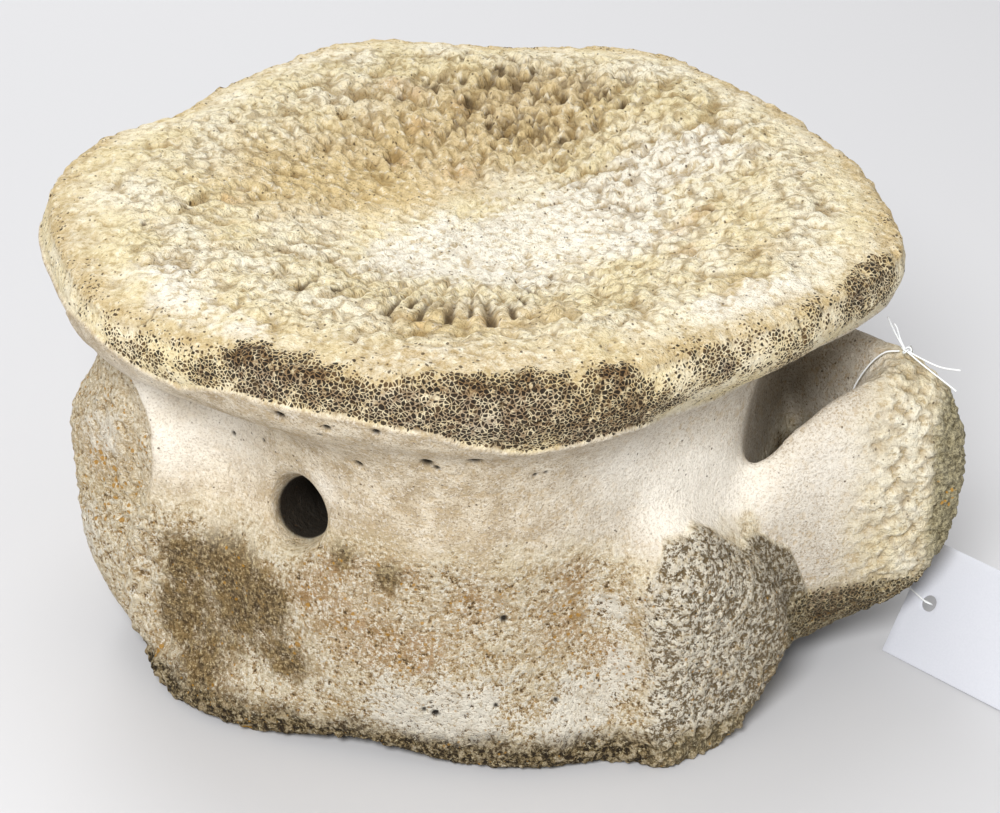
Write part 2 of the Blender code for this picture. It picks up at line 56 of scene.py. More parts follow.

# %% [markdown]
# ## The camera
#
# The bone was seen from its right side, a little from the back, and from above. The camera is worked out
# from four things that can be judged: the turn round the bone, the height over the horizon, the distance,
# and how many millimetres one picture element covers at the bone. A longer distance would flatten the end
# face's ellipse.

# %% Camera
PICTURE = (1000, 813)
AZIMUTH = math.radians(18.0)
ELEVATION = math.radians(28.5)
DISTANCE = 1.05
MM_PER_PIXEL = 0.366
LOOKED_AT = AXIS + Vector((0.0, -10.0, 80.0)) * MM
SEEN_AT = (470.0, 410.0)  # where that point lies in the picture

level = Vector((math.sin(AZIMUTH), -math.cos(AZIMUTH), 0.0))
away = level * math.cos(ELEVATION) + Vector((0.0, 0.0, math.sin(ELEVATION)))
rightward = Vector((math.cos(AZIMUTH), math.sin(AZIMUTH), 0.0))
upward = rightward.cross(-away)
focal_pixels = DISTANCE / (MM_PER_PIXEL * MM)
aside = (SEEN_AT[0] - PICTURE[0] / 2) / focal_pixels
over = (PICTURE[1] / 2 - SEEN_AT[1]) / focal_pixels

camera = bpy.data.objects.new("camera", bpy.data.cameras.new("camera"))
bpy.context.scene.collection.objects.link(camera)
camera.data.sensor_width = 36.0
camera.data.lens = focal_pixels / PICTURE[0] * camera.data.sensor_width
camera.location = LOOKED_AT + DISTANCE * (away - aside * rightward - over * upward)
turn = Matrix((rightward, upward, away)).transposed()
camera.rotation_mode = "QUATERNION"
camera.rotation_quaternion = turn.to_quaternion()
bpy.context.scene.camera = camera
print(f"camera: lens {camera.data.lens:.1f} mm")

# %% [markdown]
# ## Helpers for materials
#
# Colours are written as the hex values of a colour picker, which are sRGB. Blender's shaders reckon in
# linear light, so one function turns them over. One other function adds a node with its settings and links,
# which keeps a material readable as a list of steps. The kinds used most often, with their settings, have
# short names: FADE turns a range of values into another one with soft ends, and OVER lays a second colour
# over a first by an amount.

# %% Colour and node helpers


def colour(code):
    """Linear red, green, blue and alpha of an sRGB hex colour."""
    parts = [int(code[i : i + 2], 16) / 255 for i in (1, 3, 5)]
    return tuple(c / 12.92 if c <= 0.04045 else ((c + 0.055) / 1.055) ** 2.4 for c in parts) + (1.0,)


def add(tree, kind, settings=None, *values, **named):
    """Adds a node. Values fill its sockets in the editor's order, or by name with _ for a space."""
    node = tree.nodes.new(kind)
    for name, value in (settings or {}).items():
        setattr(node, name, value)
    pairs = list(zip((socket for socket in node.inputs if socket.enabled), values))
    pairs += [(node.inputs[name.replace("_", " ")], value) for name, value in named.items()]
    for socket, value in pairs:
        if isinstance(value, bpy.types.Node):  # a node stands for its first output
            value = next(output for output in value.outputs if output.enabled)
        if isinstance(value, bpy.types.NodeSocket):
            tree.links.new(value, socket)
        else:
            socket.default_value = value
    return node


def new_material(name):
    """A material, its node tree and its main shader."""
    material = bpy.data.materials.new(name)
    material.use_nodes = True
    return material, material.node_tree, material.node_tree.nodes["Principled BSDF"]


PLUS = ("ShaderNodeMath", {"operation": "ADD"})
LESS = ("ShaderNodeMath", {"operation": "SUBTRACT"})
TIMES = ("ShaderNodeMath", {"operation": "MULTIPLY"})
LARGER = ("ShaderNodeMath", {"operation": "MAXIMUM"})
FADE = ("ShaderNodeMapRange", {"interpolation_type": "SMOOTHSTEP"})
OVER = ("ShaderNodeMix", {"data_type": "RGBA"})


# %% [markdown]
# ## The tag's line
#
# A museum ties its number to a bone with a thin nylon line. This one is tied on top of the neural arch: it
# drops down the canal, comes out under the arch, passes through the card's hole, and goes back up the
# arch's far side to its knot. It is a curve with a round bevel, so its length can be measured, and its
# route has the CAD tube's own points. Nylon is drawn clear and half glossy; so fine a line looks white.

# %% Line
LINE_RADIUS = 0.3
LINE_SPANS = 4  # straight runs between two points of the route
LINE_ROUTE = (
    (153.4, 4, 122),
    (148.5, 3.4, 121),
    (143.5, 2.6, 115.8),
    (139, 1.8, 107),
    (136.4, 1.2, 96),
    (135.2, 1, 80),
    (134.8, 1, 60),
    (134.7, 1, 40),
    (134.8, 1.4, 24),
    (136.4, 3, 13),
    (142, 7, 11),
    (149, 11.5, 15.4),
    (155, 14, 20.8),
    (160.8, 12.4, 22),
    (165.6, 9.2, 21.2),
    (169.3, 6.6, 20.3),
    (170.6, 6.4, 20),
    (171.5, 7, 19.3),
    (171.6, 8.2, 18.5),
    (170.7, 9.2, 18.2),
    (166, 12.4, 18.4),
    (161.4, 16.2, 22.6),
    (158.6, 19.8, 32),
    (157, 22.4, 42),
    (156, 24.2, 56),
    (155.8, 24.8, 72),
    (155.8, 24.4, 88),
    (155.8, 22.8, 102),
    (155.8, 19.6, 113.2),
    (155.7, 13, 120.2),
    (155.6, 7.2, 122.1),
)


def through_route(route):
    """Points of a smooth curve through a route's own points, in metres."""
    points = [AXIS + MM * Vector(place) for place in route]
    smooth = []
    for i in range(len(points) - 1):
        before = points[max(i - 1, 0)]
        start = points[i]
        end = points[i + 1]
        after = points[min(i + 2, len(points) - 1)]
        run = (end - start).length
        leave = (end - before) * (run / (run + (start - before).length))
        arrive = (after - start) * (run / ((after - end).length + run))
        for step in range(LINE_SPANS):
            t = step / LINE_SPANS
            smooth.append(
                (1 + 2 * t) * (1 - t) ** 2 * start
                + t * (1 - t) ** 2 * leave
                + t * t * (3 - 2 * t) * end
                + t * t * (t - 1) * arrive
            )
    return smooth + [points[-1]]


def line_piece(name, strands):
    """Lengths of the line as one curve object; each strand is a list of points."""
    curve = bpy.data.curves.new(name, "CURVE")
    curve.dimensions = "3D"
    curve.bevel_depth = LINE_RADIUS * MM
    curve.bevel_resolution = 3
    curve.use_fill_caps = True
    for points in strands:
        spline = curve.splines.new("POLY")
        spline.points.add(len(points) - 1)
        for point, target in zip(points, spline.points):
            target.co = (*point, 1.0)
    obj = bpy.data.objects.new(name, curve)
    bpy.context.scene.collection.objects.link(obj)
    obj.data.materials.append(nylon)
    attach(obj, "root")
    return obj


nylon, tree, shader = new_material("drawn_nylon")
shader.inputs["Roughness"].default_value = 0.35
shader.inputs["IOR"].default_value = 1.53
spot_on_line = add(tree, "ShaderNodeTexCoord").outputs["Object"]
length_wave = add(tree, "ShaderNodeTexNoise", Vector=spot_on_line, Scale=400.0)
tint = add(tree, *OVER, length_wave, colour("#dfe3e6"), colour("#f4f5f3"))
tree.links.new(tint.outputs[2], shader.inputs["Base Color"])

line_points = through_route(LINE_ROUTE)
tag_line = line_piece("line", [line_points])
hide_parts("tag_line")

# %% [markdown]
# ## The knot
#
# The knot is an overhand knot, which mathematicians call a trefoil: three lobes that pass over and under
# each other. Its formula gives a real knot at the size of the line, where a ball would only hide that there
# is none. Its cut ends stand out stiffly, as nylon's do; the upper one is a doubled end.

# %% Knot
KNOT_PLACE = (155.6, 4.6, 122.4)
KNOT_LOBE = 0.62  # a third of the knot's half width, in millimetres
KNOT_POINTS = 72
LINE_ENDS = (
    ((155.0, 4.4, 122.8), (152.4, 4.2, 127.0), (150.6, 3.9, 130.4), (148.6, 3.6, 134.6)),
    ((155.2, 4.6, 122.8), (153.2, 4.6, 126.6), (151.9, 4.4, 130.6), (150.9, 4.2, 132.2)),
    ((156.2, 4.2, 122.4), (162.0, 3.2, 120.4), (168.6, 2.0, 119.0), (175.6, 0.6, 119.6)),
    ((156.2, 3.8, 122.2), (162.0, 1.8, 119.2), (168.4, 0.0, 116.0), (175.0, -1.4, 112.4)),
)
knot_turn = [math.tau * i / KNOT_POINTS for i in range(KNOT_POINTS + 1)]
trefoil = [
    Vector((math.sin(t) + 2 * math.sin(2 * t), math.cos(t) - 2 * math.cos(2 * t), -math.sin(3 * t)))
    for t in knot_turn
]
knot_centre = AXIS + MM * Vector(KNOT_PLACE)
strands = [[knot_centre + KNOT_LOBE * MM * point for point in trefoil]]
strands += [through_route(route) for route in LINE_ENDS]
knot = line_piece("knot", strands)
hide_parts("tag_knot")
print("knot:", len(strands), "strands")

# %% [markdown]
# ## The card
#
# The tag is a blank card of stiff paper, cut square and punched with a 6 mm hole. A flat box would look
# like plastic: card has soft cut edges and a slight bow from being handled. The sheet is a grid, whose
# squares round the hole are replaced by a ring that runs from a square to the punched circle. Card is white
# with a cold tint, matt, and its fibres show only as a faint unevenness.

# %% Card
CARD_CORNER = (155.8, 0.7, 0.2)
CARD_ALONG = (0.8812, -0.4727, 0.0)
CARD_UP = (0.267, 0.4977, 0.8252)
CARD_LENGTH = 90.0
CARD_WIDTH = 45.0
CARD_THICKNESS = 0.5
CARD_BOW = 0.8
CARD_HOLE = (10.1, 23.1)
CARD_HOLE_RADIUS = 3.0
HOLE_FRAME = 4  # squares of a millimetre from the hole's centre to the frame round it
COARSE_STEP = 2.5


def grid_lines(centre, end):
    """Grid lines from 0 to end: a millimetre apart by the hole, coarser elsewhere."""
    first = centre - HOLE_FRAME
    last = centre + HOLE_FRAME
    before = np.linspace(0.0, first, max(round(first / COARSE_STEP), 1), endpoint=False)
    after = np.linspace(last, end, round((end - last) / COARSE_STEP) + 1)[1:]
    return np.concatenate((before, first + np.arange(2 * HOLE_FRAME + 1), after)), len(before)


def bowed(x, y):
    """A point of the sheet, a little higher in the middle of its length."""
    return Vector((x, y, CARD_BOW * (1 - (2 * x / CARD_LENGTH - 1) ** 2))) * MM


columns, hole_column = grid_lines(CARD_HOLE[0], CARD_LENGTH)
rows, hole_row = grid_lines(CARD_HOLE[1], CARD_WIDTH)
sheet = bmesh.new()
grid_points = [[sheet.verts.new(bowed(x, y)) for x in columns] for y in rows]
in_frame = range(2 * HOLE_FRAME)
for j in range(len(rows) - 1):
    for i in range(len(columns) - 1):
        if i - hole_column in in_frame and j - hole_row in in_frame:
            continue
        below = grid_points[j][i : i + 2]
        above = grid_points[j + 1][i : i + 2]
        sheet.faces.new((below[0], below[1], above[1], above[0]))
frame_edges = 2 * HOLE_FRAME
frame_loop = [grid_points[hole_row][hole_column + i] for i in range(frame_edges)]
frame_loop += [grid_points[hole_row + j][hole_column + frame_edges] for j in range(frame_edges)]
frame_loop += [grid_points[hole_row + frame_edges][hole_column + frame_edges - i] for i in range(frame_edges)]
frame_loop += [grid_points[hole_row + frame_edges - j][hole_column] for j in range(frame_edges)]
punched = []
for i in range(len(frame_loop)):
    a = math.tau * (i / len(frame_loop) + 5 / 8)
    x = CARD_HOLE[0] + CARD_HOLE_RADIUS * math.cos(a)
    y = CARD_HOLE[1] + CARD_HOLE_RADIUS * math.sin(a)
    punched.append(sheet.verts.new(bowed(x, y)))
for i in range(len(frame_loop)):
    j = (i + 1) % len(frame_loop)
    sheet.faces.new((frame_loop[i], frame_loop[j], punched[j], punched[i]))
bmesh.ops.recalc_face_normals(sheet, faces=sheet.faces)
card_mesh = bpy.data.meshes.new("card")
sheet.to_mesh(card_mesh)
sheet.free()
card = bpy.data.objects.new("card", card_mesh)
bpy.context.scene.collection.objects.link(card)
along = Vector(CARD_ALONG).normalized()
out = along.cross(Vector(CARD_UP)).normalized()
card_turn = Matrix((along, out.cross(along), out)).transposed().to_4x4()
card.matrix_world = Matrix.Translation(AXIS + MM * Vector(CARD_CORNER)) @ card_turn
thicken = card.modifiers.new("thicken", "SOLIDIFY")
thicken.thickness = CARD_THICKNESS * MM
thicken.offset = 0.0
soften = card.modifiers.new("soften", "BEVEL")
soften.width = 0.15 * MM
soften.segments = 2
card_mesh.shade_smooth()

paper, tree, shader = new_material("white_card")
shader.inputs["Roughness"].default_value = 0.55
shader.inputs["IOR"].default_value = 1.5
spot_on_card = add(tree, "ShaderNodeTexCoord").outputs["Object"]
fibres = add(tree, "ShaderNodeTexNoise", Vector=spot_on_card, Scale=1 / (0.7 * MM), Detail=3.0)
tone = add(tree, *OVER, fibres, colour("#c6c8d0"), colour("#d0d2d9"))
tree.links.new(tone.outputs[2], shader.inputs["Base Color"])
felt = add(tree, "ShaderNodeBump", Strength=0.15, Distance=0.1 * MM, Height=fibres)
tree.links.new(felt.outputs["Normal"], shader.inputs["Normal"])
card.data.materials.append(paper)
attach(card, "root")
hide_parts("tag_card")
print("card:", len(card_mesh.polygons), "squares")

# %% [markdown]
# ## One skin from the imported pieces
#
# Seven solids meet with a gap of 0.4 mm. Each is swelled until it overlaps the next, and a voxel remesh
# fuses them and lays an even grid of small squares over the whole bone. Smoothing then takes away the
# facets. Sculpting by hand would start the same way; here the carving is done by formulas, which needs the
# even grid just as much.

# %% Fuse the pieces
BONE_NODES = (
    "centrum",
    "neural_arch",
    "neural_spine",
    "metapophysis_left",
    "metapophysis_right",
    "hemapophysis_left",
    "hemapophysis_right",
)
SWELL = 0.45 * MM
GRID = 1.5 * MM
ROUNDS = 22  # of smoothing

fused = bmesh.new()
for name in BONE_NODES:
    solid = bmesh.new()
    solid.from_mesh(nodes[name].data)
    bmesh.ops.remove_doubles(solid, verts=solid.verts, dist=1e-6)
    bmesh.ops.recalc_face_normals(solid, faces=solid.faces)
    solid.normal_update()
    for vert in solid.verts:
        vert.co += vert.normal * SWELL
    swelled = bpy.data.meshes.new(name + "_swelled")
    solid.to_mesh(swelled)
    solid.free()
    fused.from_mesh(swelled)
    bpy.data.meshes.remove(swelled)
bone_mesh = bpy.data.meshes.new("bone")
fused.to_mesh(bone_mesh)
fused.free()
bone = bpy.data.objects.new("bone", bone_mesh)
bpy.context.scene.collection.objects.link(bone)


def bake_modifiers(obj):
    """Makes the modifiers' result the object's own mesh."""
    bpy.context.view_layer.update()
    made = bpy.data.meshes.new_from_object(obj.evaluated_get(bpy.context.evaluated_depsgraph_get()))
    obj.modifiers.clear()
    old = obj.data
    obj.data = made
    bpy.data.meshes.remove(old)


grid = bone.modifiers.new("grid", "REMESH")
grid.mode = "VOXEL"
grid.voxel_size = GRID
smooth = bone.modifiers.new("smooth", "SMOOTH")
smooth.factor = 0.5
smooth.iterations = ROUNDS
finer = bone.modifiers.new("finer", "SUBSURF")
finer.levels = 1
finer.render_levels = 1
bake_modifiers(bone)
print("skin:", len(bone.data.vertices), "points,", len(bone.data.polygons), "squares")

# %% [markdown]
# ## Where each point lies on the bone
#
# Every mark that follows is placed in the bone's own terms: the angle round the axis (0 at the back, minus
# on the right side), the reach from the axis, and the height, in degrees and millimetres. Solid textures
# need no map, so one helper lets Geometry Nodes reckon any of Blender's textures for all points at once.
# The places of the smooth skin are kept as an attribute: carving and paint both read it, so that a pore's
# colour stays in its pit.

# %% Coordinates of the skin
count = len(bone.data.vertices)
spot = np.empty(count * 3, np.float32)
bone.data.vertices.foreach_get("co", spot)
spot = (spot.reshape(-1, 3).astype(float) - np.array(AXIS)) / MM
facing = np.empty(count * 3, np.float32)
bone.data.vertex_normals.foreach_get("vector", facing)
facing = facing.reshape(-1, 3).astype(float)
angle = np.degrees(np.arctan2(spot[:, 1], spot[:, 0]))
reach = np.hypot(spot[:, 0], spot[:, 1])
height = spot[:, 2]
smooth_place = bone.data.attributes.new("smooth_place", "FLOAT_VECTOR", "POINT")
smooth_place.data.foreach_set("vector", spot.astype(np.float32).ravel())
print("reach", reach.max().round(1), "mm, height", height.max().round(1), "mm")

# %% Helpers for marks
ANYWHERE = np.ones(count, bool)


def smooth_step(x):
    """0 below 0 and 1 above 1, with soft ends."""
    x = np.clip(x, 0.0, 1.0)
    return x * x * (3.0 - 2.0 * x)


def rise(x, start, end):
    """0 before start and 1 after end, with soft ends; start may be the larger."""
    return smooth_step((x - start) / (end - start))


def near(x, centre, width):
    """1 at centre, fading within about width of it."""
    return np.exp(-(((x - centre) / width) ** 2))


def turn_from(centre):
    """Degrees round the bone from an angle, from -180 to 180."""
    return (angle - centre + 180.0) % 360.0 - 180.0


def mark(at_angle, at_reach, at_height, size):
    """1 at a place on the bone, fading within about size millimetres round it."""
    turn = math.radians(at_angle)
    place = np.array((at_reach * math.cos(turn), at_reach * math.sin(turn), at_height))
    return np.exp(-((spot - place) ** 2).sum(axis=1) / size**2)


def fan(wheel, stretch):
    """Coordinates that fan out from the axis: true to size at a reach of wheel, and drawn out along it."""
    turn = np.radians(angle)
    return np.stack((np.cos(turn) * wheel, np.sin(turn) * wheel, reach / stretch), axis=1)


def texture(kind, size, points=None, inside=ANYWHERE, output=0, **settings):
    """One of Blender's solid textures, with a size in millimetres; it's 0 at points that aren't inside."""
    where = (spot if points is None else points)[inside] / size
    mesh = bpy.data.meshes.new("texture_points")
    mesh.vertices.add(len(where))
    mesh.vertices.foreach_set("co", where.astype(np.float32).ravel())
    holder = bpy.data.objects.new("texture_points", mesh)
    bpy.context.scene.collection.objects.link(holder)
    tree = bpy.data.node_groups.new("texture_points", "GeometryNodeTree")
    for way in ("INPUT", "OUTPUT"):
        tree.interface.new_socket("Geometry", in_out=way, socket_type="NodeSocketGeometry")
    inputs = {name: value for name, value in settings.items() if name[0].isupper()}
    switches = {name: value for name, value in settings.items() if name[0].islower()}
    source = add(tree, "NodeGroupInput")
    pattern = add(tree, "ShaderNodeTex" + kind, switches, Scale=1.0, **inputs)
    kept = {"data_type": "FLOAT"}
    store = add(tree, "GeometryNodeStoreNamedAttribute", kept, Geometry=source.outputs[0], Name="value")
    tree.links.new(pattern.outputs[output], store.inputs["Value"])
    add(tree, "NodeGroupOutput", Geometry=store.outputs[0])
    holder.modifiers.new("texture", "NODES").node_group = tree
    bpy.context.view_layer.update()
    result = holder.evaluated_get(bpy.context.evaluated_depsgraph_get()).data
    found = np.empty(len(where), np.float32)
    result.attributes["value"].data.foreach_get("value", found)
    bpy.data.objects.remove(holder)
    bpy.data.meshes.remove(mesh)
    bpy.data.node_groups.remove(tree)
    values = np.zeros(count)
    values[inside] = found
    return values


def noise(size, detail=2.0, **more):
    """Clouds of a size in millimetres, mostly from -1 to 1."""
    return (texture("Noise", size, Detail=detail, **more) - 0.5) * 3.2


def cells(size, feature="F1", **more):
    """Distance from each point to its cell's centre, 0 there and about 0.6 at the cell's edge."""
    return texture("Voronoi", size, feature=feature, **more)


# %% [markdown]
# ## A map for baking, laid out like a tin's label
#
# The picture needs no UV map, because all paint here is reckoned in space. A baked copy of the model does,
# and an automatic map would tear this knobby skin into thousands of crumbs. The smooth skin is a drum, so
# its map is laid out as for a tin: two flat ends and a wall rolled out, with the canal's two sides apart,
# because they lie one behind the other in the wall.

# %% Lay out the map
MAP_SIDE = 920.0  # millimetres of bone from one side of the map to the other
ROLLED_REACH = 145.0  # where the rolled-out wall is true to size
CANAL_TURN = 40.0
CANAL_REACH = 124.0

sides = len(bone.data.polygons)
corner_point = np.empty(sides * 4, np.int32)
bone.data.loops.foreach_get("vertex_index", corner_point)
corners = spot[corner_point].reshape(sides, 4, 3)
normals = np.empty(sides * 3, np.float32)
bone.data.polygon_normals.foreach_get("vector", normals)
normals = normals.reshape(sides, 3)
middle = corners.mean(axis=1)
middle_turn = np.degrees(np.arctan2(middle[:, 1], middle[:, 0]))
middle_reach = np.hypot(middle[:, 0], middle[:, 1])
outward = (normals[:, :2] * middle[:, :2]).sum(axis=1) / middle_reach
corner_turn = np.degrees(np.arctan2(corners[:, :, 1], corners[:, :, 0])) - middle_turn[:, None]
corner_turn = middle_turn[:, None] + (corner_turn + 180.0) % 360.0 - 180.0
rolled = np.stack((np.radians(corner_turn) * ROLLED_REACH, corners[:, :, 2]), axis=2)

on_top = (normals[:, 2] > 0.5) & (middle[:, 2] > 138.0)
under_foot = (normals[:, 2] < -0.5) & (middle[:, 2] < 30.0)
at_canal = (np.abs(middle_turn) < CANAL_TURN) & ~on_top & ~under_foot
canal_roof = at_canal & (outward < 0.0)
canal_floor = at_canal & ~canal_roof & (middle_reach < CANAL_REACH)
layout = np.where((on_top | under_foot)[:, None, None], corners[:, :, :2], rolled)
layout += np.array((460.0, 5.0))  # the wall, and the ends and the canal above it
layout[on_top] += np.array((-280.0, 540.0))
layout[under_foot] += np.array((80.0, 540.0))
layout[canal_floor] += np.array((-340.0, 180.0))
layout[canal_roof] += np.array((-100.0, 180.0))
bake_map = bone.data.uv_layers.new(name="OFBake")
bake_map.data.foreach_set("uv", (layout / MAP_SIDE).astype(np.float32).ravel())
print("map from", (layout / MAP_SIDE).min((0, 1)).round(2), "to", (layout / MAP_SIDE).max((0, 1)).round(2))

# %% [markdown]
# ## The zones of the surface
#
# The end face on top is a growth surface that its thin end plate has come off: rounded knobs with clefts
# between them, which fan out from the middle. Round its side runs a band of spongy bone, worn open down to
# a broken edge, the ledge. Below that the waist still has its smooth outer bone. The low wall is weathered
# and grainy, and the worn tips of the processes show sponge again. Each zone is a share from 0 to 1, so
# that neighbours can fade into each other.

# %% Zones
LEDGE = (  # angle and height along the broken edge of the outer bone
    (-180, 149),
    (-140, 150),
    (-128, 153),
    (-119, 146),
    (-113, 143),
    (-106, 149),
    (-88, 148),
    (-78, 145),
    (-70, 138),
    (-65, 135),
    (-52, 138),
    (-38, 131),
    (-26, 129),
    (-16, 135),
    (-4, 144),
    (14, 148),
    (30, 146),
    (60, 139),
    (90, 146),
    (125, 142),
    (150, 150),
    (180, 149),
)
CREASE = (  # height and angle of the ridge that bounds the worn belly side
    (0, 138),
    (40, 136.5),
    (64, 135.2),
    (75, 132.1),
    (84, 130.9),
    (92, 130.7),
    (101, 131.3),
    (110, 132.6),
    (120, 134.7),
    (152, 136),
)
LOBE = (  # angle and height of the top edge of the worn facet beside the canal
    (12, 20),
    (14, 42),
    (17, 62),
    (22, 71),
    (27.5, 69),
    (31, 78),
    (36, 86),
    (42, 83),
    (47, 66),
)
EDGE_STEP = 3.0  # degrees

bins = np.arange(-180.0, 180.0 + EDGE_STEP, EDGE_STEP)
bin_of = ((angle + 180.0) / EDGE_STEP).astype(int) % (len(bins) - 1)
at_edge = (height > 140.0) & (height < 158.0)
edge_reach = np.zeros(len(bins) - 1)
np.maximum.at(edge_reach, bin_of[at_edge], reach[at_edge])
edge_reach = (np.roll(edge_reach, 1) + edge_reach + np.roll(edge_reach, -1)) / 3
share = reach / np.interp(angle, bins, np.append(edge_reach, edge_reach[0]))  # 1 at the end face's edge

clouds_34 = noise(34.0, 1.0)
clouds_12 = noise(12.0, 2.0)
clouds_5 = noise(5.0, 2.0)
clouds_3 = noise(3.0, 1.0)
ledge_angles, ledge_heights = zip(*LEDGE)
above_ledge = height - np.interp(angle, ledge_angles, ledge_heights) - 1.2 * clouds_12 - 0.6 * clouds_5

near_edge = rise(share, 0.9, 0.97)
end_face = rise(facing[:, 2], 0.15 + 0.3 * near_edge, 0.6 + 0.2 * near_edge) * rise(height, 138.0, 146.0)
sponge_band = (1 - end_face) * rise(above_ledge, -0.6, 0.6)
side_turn = np.abs(angle)
under_rim = rise(height, 128.0, 124.0)
spine_tip = rise(side_turn, 17.0, 13.0) * rise(reach, 166.0, 174.0) * under_rim
arch_crust = rise(side_turn, 22.0, 16.0) * rise(reach + 3.0 * clouds_12, 140.0, 162.0) * under_rim
arch_foot = rise(side_turn, 20.0, 16.0) * rise(reach, 126.0, 134.0)
arch_foot *= rise(height + 2.0 * clouds_5, 46.0, 38.0)
frayed = 1.5 * clouds_12 + 0.8 * clouds_5
lobe_angles, lobe_tops = zip(*LOBE)
lobe_top = np.interp(side_turn, lobe_angles, lobe_tops) + frayed
back_lobe = rise(side_turn + 0.4 * frayed, 11.5, 13.5) * rise(side_turn + 0.4 * frayed, 47.0, 45.0)
back_lobe *= rise(height, lobe_top + 1.5, lobe_top - 1.5) * rise(reach, 118.0, 122.0)
crease_heights, crease_angles = zip(*CREASE)
from_crease = side_turn - np.interp(height, crease_heights, crease_angles)
past_crease = from_crease * np.radians(reach) + 0.5 * frayed
belly_lobe = rise(past_crease, -0.6, 1.2) * rise(side_turn, 172.0, 164.0) * rise(reach, 120.0, 126.0)
belly_lobe *= rise(height + 3.0 * frayed, 42.0, 58.0) * rise(height, 134.0, 126.0)
foot_band = (1 - end_face) * rise(height - 4.0 * clouds_12, 19.0, 9.0)
CANAL_MIDDLE = (121.0, 0.0)  # seen from above
canal_out = spot[:, :2] - np.array(CANAL_MIDDLE)
from_canal = np.hypot(canal_out[:, 0], canal_out[:, 1])
into_canal = -(facing[:, :2] * canal_out).sum(axis=1) / np.maximum(from_canal, 1.0)
canal = rise(into_canal, 0.1, 0.5) * rise(from_canal, 36.0, 31.0) * under_rim
worn_below = 74.0 + 11.0 * rise(np.abs(turn_from(-76.0)), 34.0, 20.0)
worn_below -= 36.0 * rise(side_turn, 25.0, 19.0) * rise(reach, 122.0, 132.0)
above_wear = height + 6.0 * clouds_12 + 2.0 * clouds_5 - worn_below
waist = (1 - end_face) * (1 - sponge_band) * rise(above_wear, -10.0, 10.0)
waist *= (1 - 0.85 * arch_crust) * (1 - back_lobe)
low_wall = (1 - end_face) * rise(above_wear, 10.0, -10.0)
print("end face from", edge_reach.min().round(1), "to", edge_reach.max().round(1), "mm from the axis")

# %% [markdown]
# ## Knobs and clefts of the end face
#
# Growth bone hardens in knobs a few millimetres wide, which line up along rays from the middle. Cell
# textures give rounded knobs with sharp furrows between them, and fanned coordinates give the rays. The few
# deep clefts that catch the eye are placed one by one, as grooves along a ray: each slopes down outward,
# widens, and ends in a steep wall. Those in front are shallow, because they're seen along their slope and a
# deep one would hide its own floor.

# %% Carve the end face
lift = 0.5 * clouds_34 + 0.2 * clouds_12
hollow = np.zeros(count)  # painted shade and dirt: how deep a point lies and how dirty it is, for the paint
painted_shade = np.zeros(count)  # painted shade: how far in the dark a point lies

on_face = end_face > 0.01
# The cells' places wander a little, which keeps them out of ranks
wander = np.stack((clouds_5, noise(5.0, 2.0, points=spot + 50.0), clouds_3), axis=1)
big_knobs = 1 - (cells(8.5, points=fan(90.0, 1.5) + 1.5 * wander, inside=on_face) / 0.62) ** 2
small_knobs = 1 - (cells(4.2, points=fan(90.0, 1.3) + 0.9 * wander, inside=on_face) / 0.62) ** 2
furrows = cells(6.0, "DISTANCE_TO_EDGE", points=fan(90.0, 1.7) + 1.6 * wander, inside=on_face)
rays = noise(2.6, 2.0, points=fan(90.0, 6.0), inside=on_face)
flutes = noise(5.5, 1.0, points=fan(95.0, 6.0), inside=on_face)
front = near(angle, -76.0, 26.0) * (angle < 0.0)
fluted = front * rise(reach, 48.0, 66.0) * rise(reach, 106.0, 98.0)
slope = rise(share, 0.24, 0.44) * rise(share, 0.92, 0.74)
back_slope = slope * rise(spot[:, 1], 5.0, 60.0)
rugged = 0.12 + 0.15 * rise(share, 0.5, 0.2) + slope * (0.55 + 0.25 * clouds_34) + 0.3 * back_slope
face_relief = (0.2 + 1.5 * rugged) * big_knobs + (0.4 + 1.1 * rugged) * small_knobs
face_relief += 0.3 * rise(share, 0.5, 0.7) * rays + 0.4 * clouds_5
face_relief += fluted * (1.5 * flutes - 0.3)
lift += end_face * face_relief
gentler = 3.0 * near(reach, 106.0, 14.0) - 1.6 * near(reach, 48.0, 14.0)
lift -= end_face * front * gentler
worst = near(np.abs(angle), 96.0, 26.0) * rise(spot[:, 1], 40.0, 74.0)  # at the back in the middle
patchy = rise(clouds_12 + 0.6 * clouds_5 + 1.1 * worst * back_slope, 0.45, 1.1)
gaps = end_face * rise(rugged, 0.2, 0.6) * patchy * rise(furrows, 0.22, 0.04)
lift -= 2.6 * gaps
hollow += 0.7 * gaps
# painted shade and soil in the furrows between the knobs
furrow_shade_and_soil = end_face * rise(face_relief, 0.2, -1.1)
from_slit = cells(7.0, points=fan(115.0, 2.6) + 0.9 * wander, inside=on_face)
slits = end_face * rise(from_slit, 0.17, 0.09) * rise(clouds_12, -0.5, 0.3)
lift -= 1.1 * slits
hollow += 0.8 * slits
print("knobs", lift[on_face].min().round(1), "to", lift[on_face].max().round(1), "mm")

